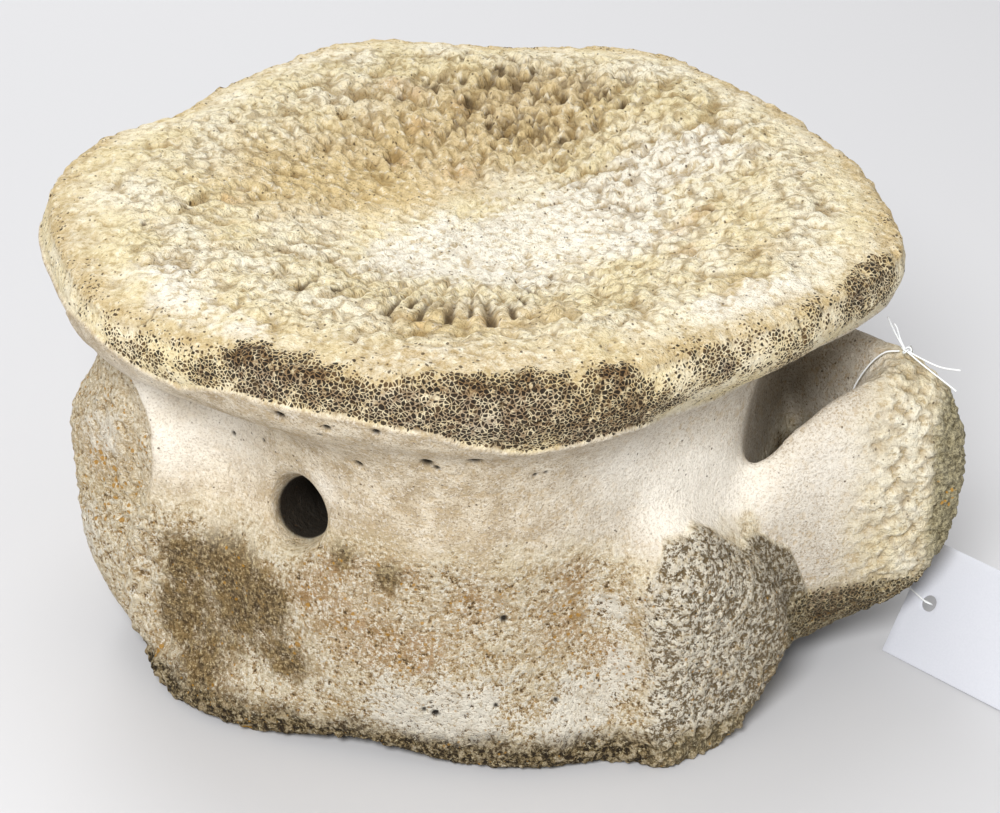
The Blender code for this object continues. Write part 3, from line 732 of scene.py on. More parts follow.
# %% Cut the clefts
CLEFTS = (  # angle, reach of the inner and outer end, width and depth
    (-110.5, 78, 97, 1.8, 2),
    (-103.5, 70, 92, 1.6, 1.8),
    (-98, 60, 93, 2.2, 2.4),
    (-93.5, 64, 88, 1.6, 1.6),
    (-89.5, 54, 100, 2.8, 3.2),
    (-86.2, 60, 90, 1.6, 1.8),
    (-83.3, 56, 101, 2.6, 3),
    (-80.3, 58, 88, 1.6, 1.8),
    (-77.4, 52, 102, 3, 3.4),
    (-73, 52, 92, 2, 2.2),
    (-68.9, 50, 100, 3.2, 3.4),
    (-64.2, 54, 97, 2.4, 2.6),
    (-60.6, 52, 84, 1.8, 2),
    (-55.7, 40, 72, 2.4, 2.8),
    (-47, 52, 80, 1.8, 2),
    (-40, 40, 51, 3.4, 3.2),
    (-20.8, 48, 59, 3, 3.2),
    (-8.6, 73, 81, 3, 3),
    (9.6, 66, 74, 2.6, 2.4),
    (17.3, 74, 84, 3.6, 3.6),
    (74.8, 92, 102, 3.4, 4.5),
    (78.4, 94, 104, 3, 4.5),
    (82.9, 66, 76, 2.8, 3.5),
    (88.4, 90, 100, 3.8, 5),
    (97.5, 105, 116, 3, 4),
    (99.9, 95, 106, 3.6, 5),
    (103.6, 104, 116, 3.4, 4.5),
    (105, 70, 80, 2.8, 3.5),
    (110.7, 86, 96, 3.6, 4.5),
    (111.6, 97, 107, 4, 5),
    (118, 92, 103, 3.8, 5),
    (126, 88, 98, 3.2, 4),
    (140.4, 56, 64, 3, 3.5),
    (175.5, 66, 74, 2.2, 2.4),
    (-152.4, 98, 104, 2, 2),
    (-156.4, 118, 125, 2.4, 2.4),
    (-146.6, 113, 120, 2.2, 2.4),
)
END_WALL = 1.6  # millimetres from a cleft's deepest place to its outer end
for at_angle, inner, outer, width, depth in CLEFTS:
    along = (reach - inner) / (outer - inner)
    across = np.radians(turn_from(at_angle)) * reach + 0.5 * clouds_5
    down = np.clip(along, 0.0, 1.0) ** 1.2 * rise(reach, outer + END_WALL / 2, outer - END_WALL / 2)
    half = width * (0.25 + 0.3 * np.clip(along, 0.0, 1.0))
    cleft = end_face * down * np.exp(-np.abs(across / half) ** 3) * (along > 0.0)
    lift -= depth * cleft
    hollow += 1.3 * cleft
    # the front clefts get painted shade too
    painted_shade += 0.5 * cleft * (at_angle < -45.0)
print(len(CLEFTS), "clefts; knobs", lift[on_face].min().round(1), "to", lift[on_face].max().round(1), "mm")

# %% [markdown]
# ## Worn sponge
#
# Inside, a whale's bone is a sponge of thin struts. Where its skin has worn off, on the side of the end
# face and on the tips of the processes, the pores lie open. Single pores are only a millimetre wide, too
# fine for this skin, so the material makes them; here go the rotted hollows, and how open each place is,
# most where it's stained. The broken edge of the outer bone is carved too, as a step, because a real one
# throws a thin shadow.

# %% Carve the sponge


def patches(*places):
    """The sum of marks, each given as angle, reach, height and size."""
    return sum(mark(*place) for place in places)


broken = 0.55 * clouds_12 + 0.4 * clouds_5 + 0.3 * clouds_3
# The marks at -12 and -5.6 degrees are painted shade on the far right of the rim as well as stain; the two at
# ±10 degrees darken the arch's underside.
stain_and_shade = patches(
    (-108, 147, 154, 6),
    (-103.1, 142, 160, 8),
    (-100, 145, 155, 9),
    (-94.7, 143, 158, 9),
    (-89.6, 145, 153, 9),
    (-82.6, 145, 153, 10),
    (-77.5, 145, 153, 11),
    (-73.8, 144, 154, 10),
    (-68.9, 146, 148, 13),
    (-65.8, 144, 155, 9),
    (-61.5, 146, 148, 13),
    (-56.1, 144, 145, 13),
    (-53.7, 141, 159, 5),
    (-50.5, 142, 146, 10),
    (-44, 140, 142, 6),
    (-36.6, 139, 152, 7),
    (-12, 146, 157, 8),
    (-5.6, 148, 158, 9),
    (100, 144, 152, 12),
    (75, 143, 150, 12),
    (150, 148, 154, 10),
    (-10, 150, 34, 24),
    (10, 150, 34, 22),
)
thin_ends = patches((-120.0, 146.0, 157.0, 20.0), (-26.0, 143.0, 154.0, 20.0))
stain_and_shade += 0.35 * thin_ends
stained_and_shaded = rise(stain_and_shade + 0.6 * broken + 0.25 * back_slope, 0.35, 1.05)
lip = end_face * rise(share + 0.03 * clouds_12 + 0.02 * clouds_5, 0.86, 1.0)
stain_and_shade_at_lip = end_face * rise(share, 0.88, 0.93) * rise(stain_and_shade + 0.4 * broken, 0.2, 0.6)
rim_open = np.minimum(sponge_band + np.maximum(0.9 * lip, stain_and_shade_at_lip), 1.0)
rim_open *= 0.45 + 0.7 * rise(stain_and_shade + 0.45 * broken, 0.0, 0.6)
sponge = np.maximum.reduce(
    (rim_open, 0.3 * back_lobe, 0.2 * belly_lobe, 0.3 * spine_tip, 0.95 * arch_foot)
)
sponge = np.clip(sponge * (0.85 + 0.22 * clouds_12 + 0.15 * clouds_5), 0.0, 1.0)
open_bone = sponge > 0.02
big_pores = rise(cells(4.4, inside=open_bone), 0.34, 0.14) * rise(clouds_5 + 0.6 * stained_and_shaded, 0.2, 0.9)
rotted = sponge_band * rise(noise(6.0, 2.0, inside=open_bone) + 0.5 * stained_and_shaded, 0.5, 1.2)
lift -= sponge * 1.4 * big_pores + 1.6 * rotted
hollow += sponge * (0.6 * big_pores + 0.4 * rotted)
lift += sponge * (0.4 * clouds_3 + 0.3 * clouds_5)
lift -= 0.9 * sponge_band + 0.9 * belly_lobe
artery_rim = mark(-106.5, 104.0, 84.0, 19.0) + mark(106.5, 104.0, 84.0, 19.0)
lift -= 2.6 * artery_rim * (1 - end_face)
lift -= 1.8 * belly_lobe * near(past_crease, 7.0, 6.0)
# a thin, patchy line of painted shadow just above the ledge
hollow += 0.45 * (1 - end_face) * rise(clouds_5, -0.6, 0.6) * near(above_ledge, 0.4, 0.7)
crease_ridge = near(past_crease, -1.5, 2.2) * rise(height, 20.0, 40.0) * (1 - end_face)
lift += 1.6 * back_lobe + 0.8 * crease_ridge
outer_skin = (1 - end_face) * (1 - sponge_band)
lift += 0.35 * outer_skin * near(above_ledge, -1.2, 1.4)

# %% [markdown]
# ## Small marks on the waist, the low wall and the foot
#
# Vessels entered the bone through small holes under the ledge. The low wall is pitted by weather, and its
# foot is crusty where it lay on the ground. Three fine cracks lie on the end face near its edge or run over
# the edge. They are thinner than the skin's squares, so they are cut shallow and left to the paint.

# %% Small vessel holes
HOLES = (  # angle, reach, height, radius
    (-97.6, 144, 143.7, 1.1),
    (-120.7, 110.7, 105.6, 0.7),
    (-112, 111.8, 109.9, 0.6),
    (-91.2, 143.2, 142, 0.9),
    (-92.7, 140.1, 137.4, 0.6),
    (-89.8, 124.3, 119.6, 1),
    (-84.5, 144, 143.5, 0.9),
    (-78.8, 131.6, 126.6, 1.3),
    (-77.4, 130.8, 124.5, 0.7),
    (-72, 135, 129.5, 1.4),
    (-61.8, 128.2, 120.7, 0.6),
    (-63.4, 128.5, 120.1, 0.6),
    (-67.6, 120.2, 60.2, 0.9),
    (-59.3, 123, 27.6, 0.7),
    (-78.6, 123.2, 23.9, 0.9),
    (-80.4, 123.2, 25.2, 0.6),
    (-69, 123.8, 28, 0.6),
    (28, 126, 118, 1.2),
    (62, 122, 108, 1),
    (84, 126, 121, 1.3),
    (97, 120, 96, 0.9),
    (118, 118, 104, 1.1),
    (176, 120, 112, 1.2),
    (-166, 122, 98, 1),
)
for at_angle, at_reach, at_height, radius in HOLES:
    hole = mark(at_angle, at_reach, at_height, radius * 1.6)
    lift -= 2.0 * radius * hole
    # each hole is painted dark for the shade inside it
    painted_shade += 1.3 * hole
print(len(HOLES), "vessel holes")

# %% [markdown]
# ## Places in the dark
#
# The artery's hole and the canal are long and open only at their ends, so little light gets in, and what
# does falls on dirt. Light alone leaves them too pale under a studio's soft lamps, so they get painted shade,
# darker further down the canal.

# %% Shade the artery's hole and the canal
ARTERY_MOUTH = np.array((-29.0, -101.0, 85.0))
ARTERY_WAY = np.array((0.04, 0.93, -0.36))
for side in (1.0, -1.0):
    mirror = np.array((1.0, side, 1.0))
    from_mouth = spot - ARTERY_MOUTH * mirror
    along_way = from_mouth @ (ARTERY_WAY * mirror)
    off_way = np.sqrt(np.maximum((from_mouth**2).sum(axis=1) - along_way**2, 0.0))
    painted_shade += 1.4 * rise(off_way, 12.0, 10.0) * rise(along_way, -3.0, 7.0) * rise(along_way, 75.0, 70.0)
in_shade = 73.0 + 1.04 * np.maximum(spot[:, 0] - 115.0, -4.0) - height  # painted shade grows darker further down the canal
painted_shade += 0.95 * canal * rise(in_shade, -11.0, 10.0)
print("points in the dark:", int((painted_shade > 0.5).sum()))

# %% Cracks
CRACK_HALF = 0.55


def crack_along(at_angle):
    """1 along a crack that runs outward, at an angle that may differ from point to point."""
    return near(np.radians(turn_from(at_angle)) * reach, 0.0, CRACK_HALF)


on_face_crack = end_face * rise(reach, 114.0, 118.0) * rise(reach, 130.0, 126.0)
edge_crack = rise(height, 150.0, 153.0) * rise(share, 0.93, 0.97)
bowed_crack = 0.8 * end_face * rise(reach, 137.0, 139.0) * rise(reach, 150.0, 147.0)
crack = on_face_crack * crack_along(-13.0 + 0.8 * clouds_5)
crack += edge_crack * crack_along(-23.7 + 0.3 * clouds_5)
crack += bowed_crack * crack_along(-119.5 - 1.6 * ((reach - 144.0) / 6.0) ** 2)
lift -= 0.9 * crack
hollow += 0.9 * crack
print("points in cracks:", int((crack > 0.5).sum()))

# %% Crust, corners and nodules
low = low_wall > 0.02
crust = noise(2.2, 2.0, inside=low)
lift += low_wall * (0.25 * clouds_3 + 0.2 * crust) + foot_band * (0.9 * clouds_5 + 0.6 * crust)
hollow += foot_band * rise(0.9 * clouds_5 + 0.6 * crust, -0.4, -1.4)
lift -= 4.0 * mark(-158.0, 141.0, 42.0, 17.0) * (1 - end_face)
corner = rise(side_turn, 124.0, 130.0) * rise(side_turn, 142.0, 136.0)
corner *= (1 - end_face) * rise(height, 80.0, 66.0)
chunky = np.maximum(arch_crust, 0.8 * corner)
drawn_out = spot * np.array((0.5, 1.0, 1.0)) + 1.4 * wander
nodules = 1 - (cells(3.8, points=drawn_out, inside=chunky > 0.02) / 0.62) ** 2
lift += corner * (1.1 * clouds_12 + 0.8 * clouds_5)
lift += belly_lobe * (0.9 * clouds_5 + 0.4 * clouds_3) + chunky * (1.0 * nodules + 0.5 * clouds_3)
lift += back_lobe * (0.6 * clouds_5 + 0.5 * clouds_3)
print("deepest cut", lift.min().round(1), "mm, highest knob", lift.max().round(1), "mm")

# %% Apply the carving
FLAT_FOOT = 0.05  # the small flats that the bone stands on lie this high
carved = spot + facing * lift[:, None]
carved[:, 2] = np.maximum(carved[:, 2], FLAT_FOOT)
bone.data.vertices.foreach_set("co", (carved * MM + np.array(AXIS)).astype(np.float32).ravel())
bone.data.update()
bone.data.shade_smooth()
standing = int((carved[:, 2] <= FLAT_FOOT).sum())
print("lowest point", carved[:, 2].min().round(2), "mm; standing on", standing, "points")

# %% [markdown]
# ## Where the paint goes
#
# Bleached bone is chalk white where sun and rubbing reached it, cream where it keeps some oil, ochre to
# umber where soil stained it, and grey where algae grew. Each is a mask at the skin's points. Wide patches
# are listed one by one and their edges are broken by clouds, the way a painter would stipple them.

# %% Masks for paint


def keep_mask(name, values):
    """Stores a mask on the skin for the material to read."""
    layer = bone.data.attributes.new(name, "FLOAT", "POINT")
    layer.data.foreach_set("value", np.clip(values, 0.0, 1.0).astype(np.float32))
    return values


chalk = patches(
    (-121, 137, 163, 9),
    (-113, 133, 163, 14),
    (-105, 132, 163, 9),
    (-33, 124, 164, 10),
    (-25, 127, 164, 12),
    (-18, 132, 163, 10),
    (-82, 143, 161, 7),
    (-145.6, 14, 147, 22),
    (38, 22, 147, 20),
    (49, 52, 148, 22),
    (52, 78, 154, 18),
    (44, 92, 159, 18),
    (9, 52, 148, 26),
    (-110, 46, 149, 20),
    (-60, 40, 148, 26),
    (-127, 122, 164, 14),
    (-50, 122, 60, 10),
    (-49, 128, 40, 8),
    (-58, 124, 16, 12),
    (-72, 123, 26, 17),
    (-86, 122, 27, 15),
    (-79, 122, 20, 12),
    (-54, 125, 30, 14),
    (-141, 142, 94, 16),
    (-146, 143, 50, 14),
)
keep_mask("chalk", rise(chalk + 0.7 * broken, 0.35, 1.15))
# painted highlight on the waist where the lamp falls: the saddle beside the lump, the arch's side and the
# left neck
painted_highlight = patches(
    (-38, 118, 92, 18),
    (-34, 118, 96, 14),
    (-30, 120, 90, 20),
    (-24, 126, 88, 16),
    (-14, 148, 92, 18),
    (-48, 120, 116, 15),
    (-133, 131, 116, 11),
    (-129, 127, 98, 12),
    (-121, 116, 108, 17),
    (-124, 136, 136, 15),
    (-97, 113, 104, 7),
)
keep_mask("painted_highlight", painted_highlight * (0.78 + 0.16 * clouds_12 + 0.12 * clouds_5))
print("chalk on", int((chalk > 0.5).sum()), "points")

# %% Ochre and tan
ochre = patches(
    (127.2, 104.9, 163.5, 6),
    (123.3, 96.8, 161.7, 6),
    (112.4, 87, 158.7, 6),
    (125, 75.1, 155.5, 7),
    (137.3, 61.6, 151.9, 7),
    (113.7, 48.2, 148.3, 9),
    (-158.7, 87.1, 161, 5),
    (-8.6, 79.9, 155.7, 8),
    (9.6, 72.3, 152.6, 9),
    (17.3, 81.6, 155.7, 6),
    (-83, 98, 161, 6),
    (-70, 94, 160, 7),
)
keep_mask("ochre", rise(ochre + 0.6 * broken, 0.3, 1.0))
tan = patches(
    (125, 70, 155, 50),
    (-175, 75, 158, 36),
    (90, 95, 160, 34),
    (-80, 100, 160, 22),
    (-60, 100, 160, 18),
    (-24, 120, 164, 13),
    (-10, 108, 162, 13),
    (144, 50, 150, 22),
)
keep_mask("tan", rise(tan + 0.45 * broken + 0.95 * lip, 0.3, 1.2) * end_face)
keep_mask("stain_and_shade", stained_and_shaded)
keep_mask("lip", np.maximum(lip, 0.85 * end_face * front * rise(share + 0.03 * clouds_12, 0.76, 0.88)))
print("tan on", int((tan > 0.5).sum()), "points")

# %% Umber and rust
# the marks at ±10 degrees darken the arch's underside
umber = patches(
    (-126.8, 128, 57, 12),
    (-117, 120, 62, 13),
    (-107, 121, 54, 9),
    (-127.3, 128, 33, 13),
    (-114.5, 122, 42, 15),
    (-119.6, 132, 18, 11),
    (-104, 122, 34, 9),
    (-94, 119, 80, 7),
    (-86, 121, 75, 7),
    (-75, 123, 96, 5),
    (-10, 148, 30, 22),
    (10, 148, 30, 22),
    (-24, 128, 24, 14),
    (60, 124, 36, 30),
    (100, 122, 40, 30),
    (175, 122, 40, 32),
)
umber_low = rise(umber + 0.45 * broken, 0.15, 1.1) * rise(above_wear, 14.0, 2.0)
keep_mask("umber", umber_low * (1 - 0.75 * belly_lobe))
rust = patches(
    (-88, 121, 93, 11),
    (-94.7, 119, 79, 11),
    (-84, 121, 80, 12),
    (-72, 124, 88, 10),
    (-56, 120, 78, 10),
    (-100, 122, 62, 12),
    (-90, 121, 50, 16),
    (-80, 121, 46, 13),
    (-116, 123, 60, 14),
    (-58, 121, 56, 14),
    (-50, 123, 40, 12),
    (-72, 121, 66, 12),
    (-118, 124, 14, 16),
    (-142, 143, 84, 18),
)
rusty = keep_mask("rust", rise(rust + 0.4 * broken, 0.3, 1.2))
print("rust on", int((rusty > 0.5).sum()), "points")

# %% Masks of the zones
keep_mask("grain", np.maximum.reduce((low_wall, 0.7 * belly_lobe, back_lobe)))
keep_mask("waist", waist)
keep_mask("lump", back_lobe + arch_foot)
# painted shade on the lump's right side and under the arch
keep_mask("shaded", back_lobe * rise(turn_from(-31.0), -8.0, 12.0) + arch_foot)
keep_mask("cool", rise(angle, -78.0, -36.0) * rise(angle, 60.0, 30.0) * (1 - end_face))
keep_mask("knobby", end_face * (0.25 + 0.75 * rise(rugged, 0.1, 0.7)) + 0.7 * arch_crust)
keep_mask("sponge", sponge)
keep_mask("hollow", hollow)
keep_mask("painted_shade", painted_shade)
keep_mask("face", np.maximum(end_face, 0.8 * arch_crust))
moss = spine_tip * rise(reach, 166.0, 172.0) * rise(side_turn, 5.2, 3.8) + 0.2 * arch_foot
keep_mask("moss", moss)
keep_mask("furrow_shade_and_soil", furrow_shade_and_soil + 0.9 * chunky * rise(nodules, 0.3, -0.6))
keep_mask("wide", 0.5 + 0.3 * noise(28.0, 2.0))
keep_mask("medium", 0.5 + 0.3 * noise(7.0, 3.0))
keep_mask("open", sponge + 0.2 * noise(4.5, 2.0))
keep_mask("dotted", rise(noise(4.0, 2.0) + 0.3 * end_face, 0.0, 0.35))
keep_mask("foot", foot_band)
print("standing in soil:", int((foot_band > 0.5).sum()), "points")

# %% Lichen
lichen = patches(
    (-142.8, 143, 84, 5),
    (-140, 140.5, 79, 4),
    (-134.7, 135, 93, 4),
    (-139.4, 139.5, 76, 4),
    (-131, 132, 88, 3.5),
    (-135, 135.5, 76, 4),
    (-143, 143.5, 55.5, 3),
    (-150, 143, 96, 4),
    (-146, 143, 70, 4),
    (-116.2, 123, 29, 3.5),
    (-102.9, 122, 41, 3.5),
    (-130.3, 133, 31.5, 4),
    (-130.8, 134, 17, 4),
    (-111, 129, 3.5, 4),
    (-56.8, 119, 61, 3.5),
    (-53.9, 122, 34, 3.5),
    (-2.3, 176.7, 76, 6),
    (150, 142, 80, 8),
    (140, 140, 60, 6),
)
lichen = 0.9 * lichen + 0.35 * belly_lobe + low_wall * (0.2 + 0.3 * rusty)
keep_mask("lichen", lichen * rise(painted_shade, 0.3, 0.0))
print("masks:", ", ".join(sorted(layer.name for layer in bone.data.attributes if layer.data_type == "FLOAT")))

# %% [markdown]
# ## Dry bone
#
# The real surface is degreased, sun-bleached bone: a mineral with no gloss at all, rough at every scale, so
# light comes back soft and pale from it. It is written as layers of paint, from the cream ground to the
# dirt in the pores. Pattern sizes are real ones: lumps of 3 mm, grains of 1.4 and 0.8 mm, pores 1.4 mm
# apart, pinholes 3 mm apart. The pores are cells with thin walls, as the struts of the bone's sponge are,
# and each has a tone of its own.

# %% Bone material
bone_material, tree, shader = new_material("bleached_bone")
shader.inputs["Roughness"].default_value = 0.85
shader.inputs["IOR"].default_value = 1.5  # of bone mineral
shader.inputs["Specular IOR Level"].default_value = 0.25
place = add(tree, "ShaderNodeAttribute", {"attribute_name": "smooth_place"}).outputs["Vector"]
MASKS = ["wide", "medium", "waist", "grain", "sponge", "face", "foot", "lip", "knobby", "furrow_shade_and_soil", "lump"]
MASKS += ["chalk", "cool", "tan", "ochre", "rust", "umber", "stain_and_shade", "moss", "painted_highlight", "shaded", "lichen"]
MASKS += ["open", "hollow", "painted_shade", "dotted"]
masks = {}
for name in MASKS:
    masks[name] = add(tree, "ShaderNodeAttribute", {"attribute_name": name}).outputs["Fac"]
print("masks that the skin carries:", len(masks))

# %% Sizes of the bone's patterns
LUMP = 3.0  # millimetres across, on the end face
GRAIN = 1.35  # on the low wall
SPECK = 0.8
KNOB = 3.8
PORE = 1.4
PINHOLES_APART = 2.9
LICHEN = 2.4

# %% Textures of the bone
# Noise with sharp small parts is spread out as far as smooth noise is.
textures = []
for size, detail, roughness in [(LUMP, 4.0, 0.68), (GRAIN, 3.0, 0.85), (SPECK, 2.0, 0.68)]:
    settings = {"Scale": 1 / size, "Detail": detail, "Roughness": roughness}
    raw = add(tree, "ShaderNodeTexNoise", Vector=place, **settings)
    textures.append(add(tree, *PLUS, add(tree, *TIMES, raw, 1.7), -0.35))
crumb, grit, fine = textures
lumpy = add(tree, *TIMES, add(tree, *PLUS, grit, crumb), 0.5)

# Places are shifted by up to 0.45 mm, so that no pattern of cells looks ruled.
cloud = add(tree, "ShaderNodeTexNoise", Vector=place, Scale=1 / 2.2, Detail=1.0).outputs["Color"]
centred = add(tree, "ShaderNodeVectorMath", {"operation": "SUBTRACT"}, cloud, (0.5, 0.5, 0.5))
shift = add(tree, "ShaderNodeVectorMath", {"operation": "SCALE"}, centred, 2 * 0.45)
loose = add(tree, "ShaderNodeVectorMath", {"operation": "ADD"}, place, shift)
lobes = add(tree, "ShaderNodeTexVoronoi", Vector=loose, Scale=1 / KNOB)
lobe_edge = add(tree, *FADE, lobes, 0.5, 0.78)
pore_tone = add(tree, "ShaderNodeTexVoronoi", Vector=loose, Scale=1 / PORE).outputs["Color"]
walls = {"feature": "DISTANCE_TO_EDGE"}
wall_distance = add(tree, "ShaderNodeTexVoronoi", walls, Vector=loose, Scale=1 / PORE)
hole_distance = add(tree, "ShaderNodeTexVoronoi", Vector=loose, Scale=1 / PINHOLES_APART)
lichen_cells = add(tree, "ShaderNodeTexVoronoi", Vector=loose, Scale=1 / LICHEN)
print("textures:", len(tree.nodes), "nodes")

# %% [markdown]
# ### Cream growth bone
#
# The end face still holds a little oil, which yellows it. Rubbed knobs are nearly white, and the furrows
# between them keep soil and get painted shade, so lightness follows the same lumps that the relief is made
# of.

# %% Paint the end face
amount = add(tree, *FADE, masks["wide"], 0.35, 0.65)
cream = add(tree, *OVER, amount, colour("#e9dbb2"), colour("#f4ecd4"))
amount = add(tree, *FADE, masks["medium"], 0.5, 0.75, 0.0, 0.6)
cream = add(tree, *OVER, amount, cream, colour("#dcc79b"))
amount = add(tree, *TIMES, masks["tan"], 0.7)
cream = add(tree, *OVER, amount, cream, colour("#d2b781"))
amount = add(tree, *TIMES, masks["ochre"], 0.4)
cream = add(tree, *OVER, amount, cream, colour("#c3955a"))
amount = add(tree, *TIMES, masks["chalk"], 0.85)
cream = add(tree, *OVER, amount, cream, colour("#f6f1e4"))
amount = add(tree, *TIMES, masks["lip"], add(tree, *FADE, crumb, 0.7, 0.3, 0.4, 0.95))
cream = add(tree, *OVER, amount, cream, colour("#bba173"))
amount = add(tree, *FADE, crumb, 0.56, 0.74, 0.0, 0.6)
cream = add(tree, *OVER, amount, cream, colour("#f9f3e0"))
# painted shade and soil in the low places of the lumps, the furrows and round the knobs
amount = add(tree, *FADE, crumb, 0.46, 0.28, 0.0, 0.6)
cream = add(tree, *OVER, amount, cream, colour("#b39a68"))
amount = add(tree, *FADE, grit, 0.4, 0.22, 0.0, 0.55)
cream = add(tree, *OVER, amount, cream, colour("#b59c6c"))
amount = add(tree, *TIMES, masks["furrow_shade_and_soil"], 0.62)
cream = add(tree, *OVER, amount, cream, colour("#9a7f4c"))
amount = add(tree, *TIMES, add(tree, *TIMES, lobe_edge, masks["knobby"]), 0.55)
cream = add(tree, *OVER, amount, cream, colour("#8f7445"))

# %% [markdown]
# ### Smooth outer bone
#
# The waist's outer bone is dense and close grained, like old ivory, greyer towards the arch and freckled
# where its finest pores are dirty. Its brightest places are painted highlight, where the lamp falls on them.

# %% Paint the waist
amount = add(tree, *FADE, masks["medium"], 0.25, 0.7)
waist_bone = add(tree, *OVER, amount, colour("#ae9b7c"), colour("#dbceb6"))
amount = add(tree, *TIMES, masks["cool"], 0.7)
waist_bone = add(tree, *OVER, amount, waist_bone, colour("#cdc6ba"))
amount = add(tree, *TIMES, masks["rust"], add(tree, *FADE, crumb, 0.3, 0.6, 0.25, 0.8))
waist_bone = add(tree, *OVER, amount, waist_bone, colour("#a8936f"))
speckle = add(tree, *PLUS, fine, add(tree, *TIMES, masks["medium"], 0.2))
amount = add(tree, *FADE, speckle, 0.58, 0.4, 0.0, 0.8)
waist_bone = add(tree, *OVER, amount, waist_bone, colour("#9c886c"))
amount = add(tree, *FADE, grit, 0.55, 0.7, 0.0, 0.5)
waist_bone = add(tree, *OVER, amount, waist_bone, colour("#f1eadd"))
amount = add(tree, *FADE, crumb, 0.44, 0.3, 0.0, 0.5)
waist_bone = add(tree, *OVER, amount, waist_bone, colour("#b8a079"))
amount = add(tree, *FADE, masks["chalk"], 0.0, 1.0, 0.0, 0.8)
waist_bone = add(tree, *OVER, amount, waist_bone, colour("#f2eee6"))
# painted highlight
amount = add(tree, *TIMES, masks["painted_highlight"], add(tree, *FADE, fine, 0.3, 0.5, 0.6, 0.9))
waist_bone = add(tree, *OVER, amount, waist_bone, colour("#f3ecdf"))
skin = add(tree, *OVER, masks["waist"], cream, waist_bone)
print("end face and waist:", len(tree.nodes), "nodes")

# %% [markdown]
# ### Grainy low wall
#
# Here the outer bone has weathered to grains the size of coarse sand: pale ones that stand out, tan and
# rusty ones, and dark pits, painted dark with soil and shade. Soil has soaked in towards the belly in dark
# umber, and the foot has a crust of it.

# %% Paint the low wall
amount = add(tree, *FADE, lumpy, 0.35, 0.58)
grains = add(tree, *OVER, amount, colour("#ac9066"), colour("#f3e5c6"))
amount = add(tree, *TIMES, add(tree, *FADE, masks["medium"], 0.42, 0.75), 0.6)
grains = add(tree, *OVER, amount, grains, colour("#b8955d"))
amount = add(tree, *TIMES, masks["rust"], add(tree, *FADE, crumb, 0.35, 0.65, 0.15, 0.75))
grains = add(tree, *OVER, amount, grains, colour("#a97b43"))
amount = add(tree, *FADE, masks["medium"], 0.44, 0.22, 0.0, 0.5)
grains = add(tree, *OVER, amount, grains, colour("#8f7855"))
amount = add(tree, *TIMES, masks["lump"], add(tree, *FADE, grit, 0.36, 0.56, 0.0, 0.85))
grains = add(tree, *OVER, amount, grains, colour("#f0ece4"))
pale_grit = add(tree, *PLUS, grit, add(tree, *TIMES, masks["chalk"], 0.25))
amount = add(tree, *FADE, pale_grit, 0.53, 0.68, 0.0, 0.9)
grains = add(tree, *OVER, amount, grains, colour("#f7f0e0"))
lumps_and_grains = add(tree, *PLUS, grit, add(tree, *TIMES, crumb, 0.6))
amount = add(tree, *FADE, lumps_and_grains, 0.58, 0.98)
dark_grains = add(tree, *OVER, amount, colour("#4d3d27"), colour("#9a8259"))
amount = add(tree, *FADE, masks["medium"], 0.45, 0.8, 0.0, 0.4)
dark_grains = add(tree, *OVER, amount, dark_grains, colour("#a98549"))
amount = add(tree, *FADE, grit, 0.58, 0.74, 0.0, 0.85)
dark_grains = add(tree, *OVER, amount, dark_grains, colour("#d6c296"))
ragged = add(tree, *PLUS, add(tree, *LESS, crumb, 0.5), add(tree, *LESS, masks["medium"], 0.5))
umber_edge = add(tree, *FADE, add(tree, *PLUS, masks["umber"], ragged), -0.15, 1.0)
grains = add(tree, *OVER, umber_edge, grains, dark_grains)
# dark pits: soil and painted shade
pitted = add(tree, *LESS, lumpy, add(tree, *TIMES, masks["lump"], 0.14))
amount = add(tree, *FADE, pitted, 0.39, 0.29, 0.0, 0.9)
grains = add(tree, *OVER, amount, grains, colour("#453523"))
# painted shade on the lump's right side and under the arch
amount = add(tree, *TIMES, masks["shaded"], add(tree, *FADE, lumpy, 0.64, 0.42, 0.3, 1.0))
grains = add(tree, *OVER, amount, grains, colour("#3f3020"))
amount = add(tree, *FADE, lumpy, 0.4, 0.6)
crust_grains = add(tree, *OVER, amount, colour("#2c2112"), colour("#8f7b54"))
amount = add(tree, *FADE, grit, 0.64, 0.76)
crust_grains = add(tree, *OVER, amount, crust_grains, colour("#d6c9a6"))
amount = add(tree, *TIMES, masks["foot"], add(tree, *FADE, crumb, 0.8, 0.5, 0.4, 1.0))
grains = add(tree, *OVER, amount, grains, crust_grains)
skin = add(tree, *OVER, masks["grain"], skin, grains)
print("low wall:", len(tree.nodes), "nodes")

# %% [markdown]
# ### Open sponge, its dirt and painted shade
#
# Each pore is a cell with walls of bone. The more open a place is, the thinner its walls, and stained walls
# are brown, as are the walls painted dark for shade at the far right of the rim. A pore's floor lies in the
# dark, so it is painted nearly black instead of being carved. Last come the painted shade and dirt of the
# recesses, and the painted shade of the holes and the canal.

# %% Paint the sponge
openness = add(tree, *PLUS, masks["open"], add(tree, *TIMES, pore_tone, 0.3))
strut_half = add(tree, *FADE, openness, 0.2, 1.05, 0.42, 0.03)
pore = add(tree, *FADE, add(tree, *LESS, wall_distance, strut_half), 0.0, 0.11)
pore = add(tree, *TIMES, pore, add(tree, *FADE, masks["sponge"], 0.04, 0.16))
